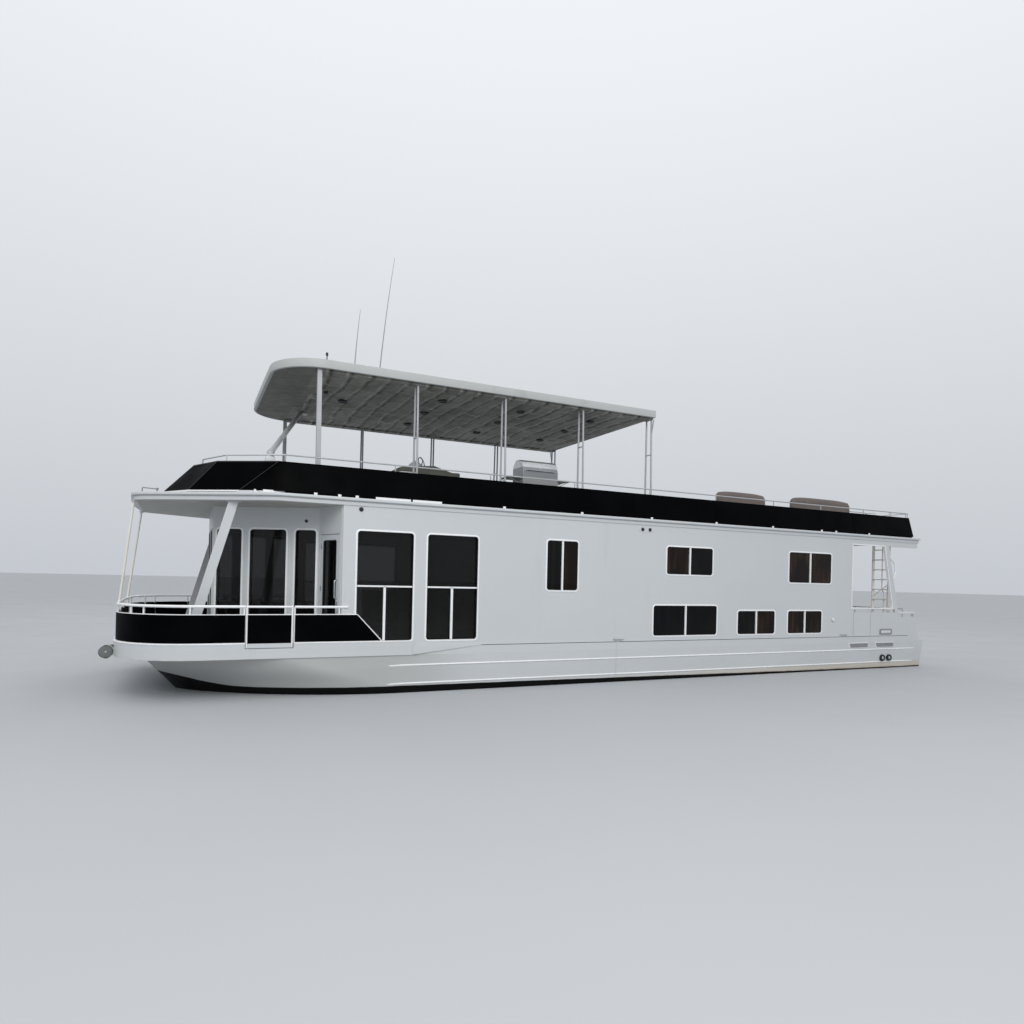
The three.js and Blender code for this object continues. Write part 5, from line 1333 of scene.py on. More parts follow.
def canopy_brace():
    """One slanting tube from a square foot at the port front corner to the canopy's far side."""
    foot_s, foot_y, head_s, head_y = 1.385, 2.56, 2.51, -1.45
    foot_top = 4.33
    rows = []
    for z, half in ((ROOF_TOP_Z, 0.088), (4.24, 0.088), (foot_top, 0.074)):
        rows.append([(at(foot_s) + u * half, foot_y + v * half, z) for u, v in oblong(-1, 1, -1, 1)])
    piece("brace_foot", Shape().solid(rows), WHITE, stands_for=["canopy_brace"], bevel=0.01)
    start = Vector((at(foot_s), foot_y, foot_top + 0.06))
    end = Vector((at(head_s), head_y, CANOPY_LOW_Z + 0.05))
    tube = Shape().tube([start, start.lerp(end, 0.98)], 0.050, 20)
    collar = [(0, 0.072), (0.03, 0.072), (0.04, 0.062), (0.10, 0.062), (0.12, 0.05)]
    tube.turned((at(foot_s), foot_y, foot_top - 0.02), collar, 20)
    along = (end - start).normalized()
    tube.lathe(start + along * 0.10, along, [(0, 0.054), (0.01, 0.060), (0.05, 0.060), (0.06, 0.054)], 20)
    tube.block((at(head_s) - 0.10, at(head_s) + 0.10), (head_y - 0.02, head_y + 0.18), (6.045, 6.08))
    piece("brace_tube", tube, FRAME)


def antennas():
    for name, s, y, tall, lean in (("tall", 3.56, 1.7, 2.57, 0.20), ("short", 3.05, 1.7, 1.37, 0.06)):
        foot = Vector((at(s), y, CANOPY_TOP_Z))
        end = Vector((at(s + lean), y, CANOPY_TOP_Z + tall))
        shape = Shape().turned(foot, [(0, 0.045), (0.006, 0.045), (0.012, 0.028), (0.07, 0.026),
                                      (0.09, 0.016)], 20)
        points = [foot.lerp(end, k / 10) + Vector((-0.03 * (k / 10) ** 2 * tall, 0, 0))
                  for k in range(1, 11)]
        points = [foot + Vector((0, 0, 0.05))] + points
        widths = [0.013 - 0.009 * k / 10 for k in range(11)]
        shape.tube(points, widths, 10)
        piece(f"{name}_whip_antenna", shape, GREY, stands_for=[f"{name}_antenna"], slot="antenna_plastic")


# Upper deck furniture
HELM_S, HELM_Y, HELM_TOP = 4.78, 0.0, 1.12
WHEEL_RISE = 0.10


def helm_plan(x0, x1, half, front, back):
    """The console's plan, with its own corner radii in front and behind."""
    corners = oblong(x0, x1, HELM_Y - half, HELM_Y + half)
    return rounded(list(zip(corners, (front, back, back, front))), 5)


def helm():
    """Console with a covered desk, a pod that carries the wheel, its levers, and a two-seat bench."""
    floor = ROOF_TOP_Z
    desk = floor + HELM_TOP
    rows = []
    for z, front, back, half in ((0.0, 0.33, 0.15, 0.43), (0.10, 0.335, 0.13, 0.44),
                                 (0.60, 0.355, 0.18, 0.445), (1.00, 0.37, 0.225, 0.44)):
        x0, x1 = at(HELM_S - front), at(HELM_S + back)
        corners = helm_plan(x0, x1, half, 0.08, 0.05)
        rows.append([(p.x, p.y, floor + z) for p in corners])
    piece("helm_console_body", Shape().solid(rows), CONSOLE, stands_for=["helm_console"], bevel=0.012)
    rows = []
    for z, grow, slope in ((0.985, 0.004, 0.2), (0.995, 0.012, 0.3), (1.075, 0.012, 1.0), (1.10, 0.0, 1.0),
                           (1.112, -0.03, 1.0), (1.116, -0.08, 1.0)):
        x0, x1 = at(HELM_S - 0.372 - grow), at(HELM_S + 0.238 + grow)
        half = 0.442 + grow / 2
        corners = helm_plan(x0, x1, half, 0.09, 0.06)
        rows.append([(p.x, p.y, floor + z + slope * 0.06 * ((x0 - p.x) / (x0 - x1) - 0.5))
                     for p in corners])
    piece("helm_desk_cover", Shape().solid(rows), COVER)
    rows = []
    for y, grow in ((0.352, -0.02), (0.362, 0.0), (0.448, 0.0), (0.456, -0.02)):
        outline = rounded([((0.02, -0.25), 0), ((0.99, -0.25 - grow), 0.03), ((1.0 + grow, -0.105), 0.03),
                           ((0.46, 0.045 + grow), 0.12), ((0.02, 0.01), 0)], 5)
        rows.append([(at(HELM_S + p.x), HELM_Y + y, desk + p.y) for p in outline])
    piece("helm_wing_cover", Shape().solid(rows), COVER)
    x, y = at(HELM_S + 0.95), HELM_Y + 0.405
    leg = Shape().post(x, y, (floor, desk - 0.24), 0.021, 14)
    leg.flange((x, y, floor), 0.04, 0.024)
    piece("helm_wing_leg", leg, STEEL)
    rows = []
    for y, grow in ((-0.16, -0.02), (-0.14, 0.0), (0.14, 0.0), (0.16, -0.02)):
        outline = rounded([((0.01 - grow, -0.02), 0), ((0.215 + grow, -0.02), 0),
                           ((0.20 + grow, 0.15 + grow), 0.03), ((0.09, 0.19 + grow), 0.03),
                           ((0.01 - grow, 0.12 + grow), 0.03)], 4)
        rows.append([(at(HELM_S + p.x), HELM_Y + y, desk + p.y) for p in outline])
    piece("helm_pod", Shape().solid(rows), CONSOLE, bevel=0.004)
    dials = Shape()
    face = Vector((0.20 - 0.09, 0, -(0.15 - 0.19))).normalized()
    tilt = Vector((-face.z, 0, face.x)).normalized()
    for y in (-0.09, 0.0, 0.09):
        dials.lathe((at(HELM_S + 0.145), HELM_Y + y, desk + 0.166), tilt,
                    [(0, 0.036), (0.010, 0.036), (0.013, 0.030), (0.008, 0.027)], 20)
    piece("helm_dials", dials, DARK, slot="helm_plastic")
    levers = Shape()
    for y in (0.24, 0.29):
        base = Vector((at(HELM_S + 0.05), HELM_Y + y, desk))
        levers.turned(base, [(0, 0.03), (0.006, 0.03), (0.010, 0.012)], 14)
        levers.tube([base, base + Vector((0.03, 0, 0.13))], 0.007, 8)
        knob = [(0, 0.008), (0.01, 0.018), (0.03, 0.018), (0.04, 0.006)]
        levers.turned(base + Vector((0.03, 0, 0.12)), knob, 12)
    hub = Vector((at(HELM_S + 0.19), HELM_Y, desk + WHEEL_RISE - 0.027))
    levers.tube([hub, hub + Vector((-0.078, 0, 0.027))], 0.028, 14)
    piece("helm_levers", levers, STEEL)
    centre = Vector((at(HELM_S + 0.268) - 0.0229, HELM_Y, floor + 0.0003 + HELM_TOP + WHEEL_RISE + 0.0082))
    axis = Vector((-0.078, 0, 0.027)).normalized()
    side = Vector((0, 1, 0))
    other = axis.cross(side)
    wheel = Shape().tube([centre + (side * math.cos(t) + other * math.sin(t)) * 0.19
                          for t in arc_points(49)[:-1]], 0.015, 10, closed=True)
    for k in range(3):
        t = math.pi / 2 + k * 2 * math.pi / 3
        end = centre + (side * math.cos(t) + other * math.sin(t)) * 0.188
        wheel.tube([centre, end], [0.013, 0.009], 10)
    boss = [(0, 0.03), (0.004, 0.038), (0.026, 0.038), (0.036, 0.03), (0.040, 0.012)]
    wheel.lathe(centre - axis * 0.024, axis, boss, 24)
    piece("steering_wheel", wheel, STEEL, "wheel", stands_for=["helm_wheel"])
    seat_s = HELM_S + 0.9
    pedestal = [(0, 0.18), (0.008, 0.18), (0.02, 0.10), (0.06, 0.05), (0.30, 0.045), (0.31, 0.055),
                (0.44, 0.055), (0.45, 0.12), (0.46, 0.12)]
    base = Shape().turned((at(seat_s), HELM_Y, floor), pedestal, 28)
    base.block((at(seat_s + 0.24), at(seat_s - 0.32)), (HELM_Y - 0.25, HELM_Y + 0.25),
               (floor + 0.45, floor + 0.465))
    piece("helm_seat_base", base, STEEL, stands_for=["helm_seat"], bevel=0.002)
    cushion("helm_seat_cushion", (at(seat_s + 0.17), at(seat_s - 0.33)), (HELM_Y - 0.245, HELM_Y + 0.245),
            (floor + 0.465, floor + 0.58), COVER, panels=2)
    cushion("helm_seat_back", (at(seat_s + 0.26), at(seat_s + 0.175)), (HELM_Y - 0.25, HELM_Y + 0.25),
            (floor + 0.50, floor + 1.08), COVER, panels=2)
    for side_name, sign in (("port", 1), ("starboard", -1)):
        span = sorted((HELM_Y + sign * 0.255, HELM_Y + sign * 0.32))
        cushion(f"helm_{side_name}_arm", (at(seat_s + 0.26), at(seat_s - 0.33)), span,
                (floor + 0.48, floor + 1.08), COVER)


def cushion(name, x, y, z, material, panels=1, crown=0.35):
    """A crowned pad whose sides pull in between its corners, with sewn channels across it."""
    made = bmesh.new()
    bmesh.ops.create_cube(made, size=2)
    bmesh.ops.subdivide_edges(made, edges=made.edges[:], cuts=9, use_grid_fill=True)
    size = Vector(((x[1] - x[0]) / 2, (y[1] - y[0]) / 2, (z[1] - z[0]) / 2))
    middle = Vector(((x[1] + x[0]) / 2, (y[1] + y[0]) / 2, (z[1] + z[0]) / 2))
    thin = min(range(3), key=lambda k: size[k])
    long = max(range(3), key=lambda k: size[k])
    for vertex in made.verts:
        p = vertex.co.copy()
        wide = [k for k in range(3) if k != thin]
        edge = max(abs(p[wide[0]]), abs(p[wide[1]]))
        plump = 1 - crown * edge ** 4
        channel = 0.0
        if panels > 1:
            phase = (p[long] + 1) / 2 * panels
            channel = 0.16 * math.exp(-((phase - round(phase)) / 0.10) ** 2) * (0 < round(phase) < panels)
        q = p.copy()
        q[thin] = p[thin] * (plump - channel)
        for k in wide:
            other = p[wide[1] if k == wide[0] else wide[0]]
            q[k] = p[k] * (0.985 - 0.02 * (1 - other * other) - 0.03 * p[thin] * p[thin] * (abs(p[k]) > 0.9))
        vertex.co = Vector((q.x * size.x, q.y * size.y, q.z * size.z)) + middle
    mesh = bpy.data.meshes.new(name)
    made.to_mesh(mesh)
    made.free()
    mesh.polygons.foreach_set("use_smooth", [True] * len(mesh.polygons))
    mesh.materials.append(material)
    thing = bpy.data.objects.new(name, mesh)
    bpy.context.scene.collection.objects.link(thing)
    smooth = thing.modifiers.new("smooth", "SUBSURF")
    smooth.levels = smooth.render_levels = 1
    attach(thing, "boat")
    return thing


GRILL_S, GRILL_Y, GRILL_HALF, GRILL_DEEP, GRILL_SHELF = 7.21, 1.75, 0.44, 0.27, 0.89


def grill():
    floor = ROOF_TOP_Z
    x = (at(GRILL_S + GRILL_HALF), at(GRILL_S - GRILL_HALF))
    y = (GRILL_Y - GRILL_DEEP, GRILL_Y + GRILL_DEEP)
    cabinet = Shape().block(x, y, (floor + 0.06, floor + GRILL_SHELF))
    for u in (x[0] + 0.05, x[1] - 0.05):
        for v in (y[0] + 0.05, y[1] - 0.05):
            cabinet.turned((u, v, floor), [(0, 0.025), (0.045, 0.025), (0.06, 0.015)], 14)
    piece("grill_cabinet", cabinet, CABINET, stands_for=["grill_stand"], bevel=0.008)
    front = Shape()
    for u0, u1 in ((x[0] + 0.02, at(GRILL_S) - 0.004), (at(GRILL_S) + 0.004, x[1] - 0.02)):
        front.block((u0, u1), (y[0] - 0.008, y[0]), (floor + 0.09, floor + 0.68))
    front.block((x[0] + 0.01, x[1] - 0.01), (y[0] - 0.012, y[0]), (floor + 0.71, floor + 0.87))
    piece("grill_front", front, STEEL, bevel=0.003)
    knobs = Shape()
    for k in range(4):
        knobs.lathe((x[0] + 0.17 + 0.18 * k, y[0] - 0.012, floor + 0.79), (0, -1, 0),
                    [(0, 0.026), (0.006, 0.026), (0.010, 0.020), (0.028, 0.018), (0.030, 0.012)], 18)
    for u in (at(GRILL_S) - 0.035, at(GRILL_S) + 0.035):
        knobs.tube(bent([(u, y[0] - 0.008, floor + 0.42), (u, y[0] - 0.03, floor + 0.42),
                         (u, y[0] - 0.03, floor + 0.56), (u, y[0] - 0.008, floor + 0.56)], 0.01), 0.006, 8)
    piece("grill_knobs", knobs, DARK)
    shelves = Shape()
    for u0, u1 in ((x[0] - 0.33, x[0] - 0.005), (x[1] + 0.005, x[1] + 0.33)):
        shelves.block((u0, u1), (y[0] + 0.03, y[1] - 0.03), (floor + 0.832, floor + 0.86))
        for v in (y[0] + 0.06, y[1] - 0.06):
            shelves.tube([(u0 if u0 < x[0] else u1, v, floor + 0.835),
                          (x[0] if u0 < x[0] else x[1], v, floor + 0.68)], 0.008, 8)
    piece("grill_shelves", shelves, CABINET, bevel=0.006)
    low = floor + GRILL_SHELF + 0.0006
    outline = rounded([((-0.27, 0.0), 0), ((0.27, 0.0), 0), ((0.27, 0.12), 0.05), ((0.18, 0.332), 0.06),
                       ((0.04, 0.372), 0.08), ((-0.14, 0.372), 0.07), ((-0.27, 0.242), 0.08)], 6)
    rows = []
    for u, shrink in ((x[0], 0.97), (x[0] + 0.012, 1.0), (x[1] - 0.012, 1.0), (x[1], 0.97)):
        rows.append([(u, GRILL_Y + p.x * shrink, low + p.y * shrink) for p in outline])
    lid = Shape().solid(rows)
    shell = piece("grill_hood", lid, LID_STEEL, "lid", stands_for=["grill_lid"])
    inner = [[(u, GRILL_Y + p.x * 0.94, low - 0.02 + p.y * 0.98) for p in outline]
             for u in (x[0] + 0.02, x[1] - 0.02)]
    carve(shell, Shape().solid(inner))
    handle = Shape().tube([(x[0] + 0.08, y[1] + 0.035, low + 0.12),
                           (x[1] - 0.08, y[1] + 0.035, low + 0.12)], 0.012)
    for u in (x[0] + 0.12, x[1] - 0.12):
        handle.tube([(u, y[1] - 0.005, low + 0.12), (u, y[1] + 0.035, low + 0.12)], 0.009, 10)
    handle.lathe((at(GRILL_S), y[1] - 0.058, low + 0.205), (0, 0.85, 0.53),
                 [(0, 0.045), (0.012, 0.045), (0.016, 0.038)], 24)
    piece("grill_lid_handle", handle, STEEL, "lid")
    grate = Shape()
    for k in range(18):
        u = x[0] + 0.06 + k * (x[1] - x[0] - 0.12) / 17
        grate.tube([(u, y[0] + 0.03, floor + 0.893), (u, y[1] - 0.03, floor + 0.893)], 0.004, 6)
    piece("grill_grate", grate, DARK)


def deck_locker():
    floor = ROOF_TOP_Z
    x, y = (at(9.78), at(8.35)), (1.85, 2.27)
    body = Shape().block(x, y, (floor + 0.05, floor + 0.60))
    body.block((x[0] + 0.04, x[1] - 0.04), (y[0] + 0.04, y[1] - 0.04), (floor, floor + 0.05))
    piece("locker_body", body, CABINET, stands_for=["deck_bench"], bevel=0.012)
    top = Shape().block((x[0] - 0.004, x[1] + 0.004), (y[0] - 0.004, y[1] + 0.004),
                        (floor + 0.606, floor + 0.640))
    piece("locker_top", top, GREY, bevel=0.012, slot="grill_paint")
    doors = Shape()
    count = 3
    wide = (x[1] - x[0] - 0.08) / count
    for k in range(count):
        u = x[0] + 0.04 + wide * k
        doors.block((u + 0.006, u + wide - 0.006), (y[0] - 0.006, y[0]), (floor + 0.09, floor + 0.57))
    piece("locker_doors", doors, GREY, bevel=0.004, slot="grill_paint")
    pulls = Shape()
    for k in range(count):
        u = x[0] + 0.04 + wide * (k + 0.5)
        pulls.tube(bent([(u - 0.05, y[0] - 0.004, floor + 0.50), (u - 0.05, y[0] - 0.03, floor + 0.50),
                         (u + 0.05, y[0] - 0.03, floor + 0.50), (u + 0.05, y[0] - 0.004, floor + 0.50)],
                        0.01), 0.005, 8)
    piece("locker_pulls", pulls, STEEL)


def sofas():
    """Deck sofas with their arched backs to the port rail: a dark base, seat pads, arms and back pads."""
    floor = ROOF_TOP_Z
    y0, y1 = 1.64, 2.33
    for name, s0, s1, high, count in (("forward", 12.0, 13.58, 0.915, 2), ("aft", 14.56, 16.75, 0.955, 3)):
        base = Shape().block((at(s1), at(s0)), (y0, y1 + 0.10), (floor + 0.13, floor + 0.30))
        for s in (s0 + 0.075, s1 - 0.075):
            for y in (y0 + 0.065, y1 + 0.035):
                base.turned((at(s), y, floor), [(0, 0.022), (0.01, 0.026), (0.13, 0.034)], 16)
        piece(f"{name}_sofa_base", base, CABINET, stands_for=[f"{name}_sofa"], bevel=0.008)
        rows = []
        for k in range(33):
            share = k / 32
            s = s0 + (s1 - s0) * share
            top = floor + high - 0.05 * (2 * share - 1) ** 4
            row = []
            for t in arc_points(17)[:-1]:
                u = math.copysign(abs(math.cos(t)) ** 0.5, math.cos(t))
                v = math.copysign(abs(math.sin(t)) ** 0.4, math.sin(t))
                pinch = 0.86 if k in (0, 32) else 1.0
                middle, half = (floor + 0.25 + top) / 2, (top - floor - 0.25) / 2
                row.append((at(s), 2.375 + 0.058 * u * pinch, middle + half * v * pinch))
            rows.append(row)
        back = piece(f"{name}_sofa_back", Shape().solid(rows), SLING, angle=60)
        for end, s in (("fore", s0), ("aft", s1 - 0.12)):
            cushion(f"{name}_sofa_{end}_arm", (at(s + 0.12), at(s)), (y0, y1 - 0.02),
                    (floor + 0.28, floor + 0.60), SLING, crown=0.2)
        wide = (s1 - s0 - 0.26) / count
        for k in range(count):
            a = s0 + 0.13 + wide * k
            cushion(f"{name}_sofa_seat_{k + 1}", (at(a + wide - 0.006), at(a + 0.006)), (y0, y1 - 0.02),
                    (floor + 0.302, floor + 0.43), SLING, crown=0.25)
            cushion(f"{name}_sofa_rest_{k + 1}", (at(a + wide - 0.01), at(a + 0.01)),
                    (y1 - 0.16, y1 - 0.03), (floor + 0.43, floor + 0.86),
                    RED if name == "aft" and k == 2 else SLING, crown=0.3)


# Stern
LADDER_S, LADDER_Y = 18.065, (2.20, 2.72)


def stern_ladder():
    stringers = Shape()
    for y in (LADDER_Y[0] + 0.0175, LADDER_Y[1] - 0.0175):
        corners = oblong(at(LADDER_S + 0.045), at(LADDER_S - 0.045), y - 0.0175, y + 0.0175)
        outline = rounded([(corner, 0.008) for corner in corners], 3)
        stringers.plate([tuple(p) for p in outline], (DECK_Z, 4.40))
        stringers.block((at(LADDER_S + 0.07), at(LADDER_S - 0.07)), (y - 0.04, y + 0.04),
                        (DECK_Z, DECK_Z + 0.008))
    piece("ladder_stringers", stringers, HIGHLIT_CREAM, stands_for=["stern_ladder"], bevel=0.003)
    treads, grips = Shape(), Shape()
    for k in range(9):
        z = 1.03 + 0.283 * k
        treads.block((at(LADDER_S + 0.06), at(LADDER_S - 0.06)),
                     (LADDER_Y[0] + 0.035, LADDER_Y[1] - 0.035), (z - 0.014, z + 0.010))
        for j in range(4):
            u = at(LADDER_S) - 0.045 + 0.03 * j
            grips.block((u - 0.004, u + 0.004), (LADDER_Y[0] + 0.05, LADDER_Y[1] - 0.05),
                        (z + 0.010, z + 0.014))
    grab = Shape().tube([(at(LADDER_S), 2.56, DECK_Z), (at(LADDER_S), 2.56, 2.08),
                         (at(LADDER_S), 2.50, 2.16), (at(LADDER_S), 2.50, 3.49)], 0.016, 10)
    grab.tube([(at(LADDER_S - 0.05), 2.72, 2.30), (at(LADDER_S - 0.05), 2.24, 1.96)], 0.013, 10)
    piece("ladder_grab_tubes", grab, HIGHLIT_CREAM)
    piece("ladder_treads", treads, HIGHLIT_CREAM, bevel=0.004)
    piece("ladder_grips", grips, NON_SKID)
    guard = Shape()
    x0, x1 = at(17.20), at(LADDER_S)
    y, top, middle = 1.95, 4.40, 4.04
    guard.tube(bent([(x0, y, ROOF_TOP_Z), (x0, y, top), (x1, y, top), (x1, y, ROOF_TOP_Z)], 0.08), 0.015)
    guard.tube([(x0, y, middle), (x1, y, middle)], 0.012, 10)
    for z in (middle, top - 0.016):
        guard.tube([(x1, y, z), (x1, LADDER_Y[0] + 0.01, z)], 0.012, 10)
    for x in (x0, x1):
        guard.flange((x, y, ROOF_TOP_Z), 0.045, 0.02)
    piece("hatch_guard_rail", guard, WHITE)


STERN_RAIL_S = 18.38
STERN_GATE_HALF = 0.38


def stern_rails():
    """Steel rails across the aft deck, and the gate between them."""
    x, edge = at(STERN_RAIL_S), HALF_BEAM - WALL
    rails = Shape().block((x - 0.015, x + 0.015), (-edge, edge), (DECK_Z, DECK_Z + 0.02))
    for sign in (1, -1):
        posts = [STERN_GATE_HALF + 0.028, 1.40, edge - 0.02]
        for y in posts:
            rails.post(x, sign * y, (DECK_Z, RAIL_Z + 0.012), 0.015)
            rails.flange((x, sign * y, DECK_Z + 0.02), 0.034, 0.018, 16, tall=0.010)
            rails.turned((x, sign * y, RAIL_Z + 0.010), [(0, 0.0155), (0.006, 0.013), (0.009, 0.004)], 12)
        for z in (1.15, 1.39, RAIL_Z):
            rails.tube([(x, sign * posts[0], z), (x, sign * posts[2], z)], 0.014 if z > 1.5 else 0.010, 10)
    piece("stern_pipe_rails", rails, STEEL, stands_for=["stern_rail"])
    gate = Shape()
    half = STERN_GATE_HALF - 0.015
    loop = [(x, -half, 1.0), (x, half, 1.0), (x, half, RAIL_Z), (x, -half, RAIL_Z)]
    gate.tube(rounded([(p, 0.06) for p in loop], 6), 0.014, 12, closed=True)
    for z in (1.20, 1.41):
        gate.tube([(x, -half, z), (x, half, z)], 0.009, 10)
    gate.post(x, half, (0.922, 1.05), 0.010, 10)
    gate.block((x - 0.012, x + 0.012), (-half - 0.014, -half + 0.02), (1.50, 1.56))
    for z in (1.12, 1.50):
        gate.barrel((x, half + 0.013, z - 0.03), 0.06, 0.011, 14, 0.003)
    piece("stern_gate_frame", gate, STEEL, "stern_gate_leaf", stands_for=["stern_gate"])


def stern_posts():
    """The curved grab tube on the slanted member, the bulwark's cap and the side opening's trim."""
    y = HALF_BEAM - 0.024
    path = bent([(at(17.70), y, 3.09), (at(17.80), y, 3.00), (at(17.93), y, 2.90), (at(17.972), y, 2.68),
                 (at(17.925), y, 2.53), (at(17.85), y, 2.45)], 0.10, 6)
    both("stern_grab_tube", Shape().tube(path, 0.022), HIGHLIT_WHITE)
    cap = Shape().block((at(18.80), at(18.08)), (HALF_BEAM - WALL - 0.008, HALF_BEAM + 0.008),
                        (1.526, 1.546))
    both("bulwark_cap", cap, HIGHLIT_WHITE, bevel=0.004)
    opening = ((17.85, 1.654), (16.20, 1.654), (16.20, 3.36), (17.47, 3.36))
    frame_path = [SIDE.point(at(s), z) for s, z in opening]
    trim = Shape().sweep(rounded([(p, 0) for p in frame_path[::-1]]),
                         [(-0.008, -0.062), (-0.008, 0.004), (0.02, 0.004), (0.02, 0.0), (0.0, -0.062)],
                         up=SIDE.out, closed=True)
    both("side_opening_trim", trim, HIGHLIT_WHITE)
    seams = Shape()
    for s in (16.273, 16.947):
        SIDE.bar(seams, (at(s) - 0.004, at(s) + 0.004), (0.91, 1.53), (-0.001, 0.0015))
    both("bulwark_seams", seams, GREY, slot="white_paint")


# Small fittings on the sides
def side_fittings():
    vent_frame, vent_plate = Shape(), Shape()
    vent = (at(17.831), at(17.315), 0.918, 1.082)
    SIDE.slab(vent_frame, vent, 0.05, (-0.002, 0.012))
    middle = (vent[0] + 0.075, vent[1] - 0.075, 0.965, 1.035)
    SIDE.slab(vent_plate, middle, 0.02, (0.010, 0.018))
    for k in range(3):
        SIDE.bar(vent_frame, (middle[0] + 0.02, middle[1] - 0.02), (0.974 + 0.02 * k, 0.980 + 0.02 * k),
                 (0.016, 0.020))
    both("engine_vent_frame", vent_frame, GREY, bevel=0.004)
    both("engine_vent_plate", vent_plate, HIGHLIT_WHITE, bevel=0.003)
    pads, slots, slats = Shape(), Shape(), Shape()
    for s0, s1 in ((16.05, 16.815), (17.09, 17.862)):
        for shape, inset, depths in ((pads, 0.0, (3.030, 3.046)), (slots, 0.016, (3.040, 3.051))):
            outline = [(s0 + 0.06 + inset, 0.575 + inset), (s1 - inset, 0.575 + inset),
                       (s1 - inset, 0.722 - inset), (s0 + inset * 1.6, 0.722 - inset)]
            shape.side_plate(outline, depths)
        for k in range(4):
            z = 0.606 + 0.028 * k
            slats.block((at(s1 - 0.05), at(s0 + 0.09)), (3.049, 3.056), (z, z + 0.012))
    both("hull_vent_frames", pads, HIGHLIT_WHITE, bevel=0.003)
    both("hull_vent_covers", slots, GREY, bevel=0.003)
    both("hull_vent_slats", slats, GREY, bevel=0.002)
    outlets, bores = Shape(), Shape()
    lip = [(0, 0.088), (0.070, 0.088), (0.082, 0.082), (0.086, 0.066), (0.076, 0.056), (0.030, 0.052)]
    for s in (17.41, 17.68):
        outlets.lathe((at(s), 2.99, 0.29), (0, 1, 0), lip, 28)
        bores.lathe((at(s), 3.0, 0.29), (0, 1, 0), [(0, 0.054), (0.050, 0.054), (0.060, 0.040)], 20)
    both("exhaust_outlets", outlets, DARK)
    both("exhaust_bores", bores, STEEL)
    lamp = Shape().lathe((at(15.48), HALF_BEAM, 1.34), (0, 1, 0),
                         [(0, 0.060), (0.008, 0.060), (0.012, 0.054)], 20)
    both("dock_light_base", lamp, STEEL)
    lens = Shape().lathe((at(15.48), HALF_BEAM + 0.010, 1.34), (0, 1, 0),
                         [(0, 0.050), (0.016, 0.048), (0.026, 0.036), (0.032, 0.012)], 20)
    both("dock_light_lens", lens, LENS)
    cleats = Shape()
    for s in (8.72, 15.9):
        x, y, z = at(s), 3.02, DECK_Z
        for u in (-0.06, 0.06):
            cleats.post(x + u, y, (z, z + 0.035), 0.012, 10)
        cleats.tube([(x - 0.15, y, z + 0.048), (x - 0.06, y, z + 0.038), (x + 0.06, y, z + 0.038),
                     (x + 0.15, y, z + 0.048)], [0.006, 0.013, 0.013, 0.006], 10)
    both("side_cleats", cleats, STEEL)
    stripe = Shape().tube([(at(8.65), 3.041, 0.10), (at(8.65), 3.043, 0.89)], 0.004, 6)
    both("hull_side_seam", stripe, WHITE)
    eaves = Shape()
    dome = [(0, 0.042), (0.006, 0.042), (0.010, 0.030), (0.034, 0.027), (0.040, 0.018)]
    for s, z in ((2.96, 3.44), (9.31, 3.40), (9.51, 3.40)):
        eaves.lathe((at(s), HALF_BEAM, z), (0, 1, 0), dome, 18)
    both("eave_lamps", eaves, DARK)
    plate = Shape()
    SIDE.slab(plate, (at(9.62), at(9.20), 3.345, 3.455), 0.012, (-0.001, 0.005))
    both("eave_lamp_plate", plate, WHITE, bevel=0.002)
    profile = [(0, 0.03), (0.01, 0.03), (0.03, 0.022), (0.034, 0.01)]
    porch = Shape().lathe(WINDOW_WALL.point(0.26, 3.24), WINDOW_WALL.out, profile, 16)
    both("porch_lamp", porch, DARK)


def roof_fittings():
    """The lamp and horn bracket on the roof's tip, and the corner trims of the cabin."""
    bar = Shape().tube(bent([(at(-0.69), 1.5, 3.64), (at(-0.69), 1.5, 3.727), (at(-0.45), 1.5, 3.715),
                             (at(-0.45), 1.5, 3.64)], 0.015), 0.011, 10)
    bar.turned((at(-0.45), 1.5, 3.70), [(0, 0.014), (0.006, 0.026), (0.030, 0.026), (0.036, 0.014)], 18)
    both("bow_lamp_bar", bar, GREY, slot="polished_steel")
    ledge = Shape().side_plate(oblong(2.66, 18.44, 0.900, 0.914), (2.999, 3.012))
    both("wall_foot_ledge", ledge, WHITE)
    # painted shadow: a dark strip along the deck's edge, just under its top
    shadow = Shape().side_plate(oblong(4.10, 18.44, 0.884, 0.894), (3.039, 3.0425))
    both("deck_edge_shadow_line", shadow, DARK, slot="roller_rubber")
    trim = Shape().block((at(CABIN_FRONT_STATION + 0.05), at(CABIN_FRONT_STATION - 0.005)),
                         (HALF_BEAM, HALF_BEAM + 0.004), INSIDE_Z)
    both("cabin_corner_trim", trim, WHITE, bevel=0.002)


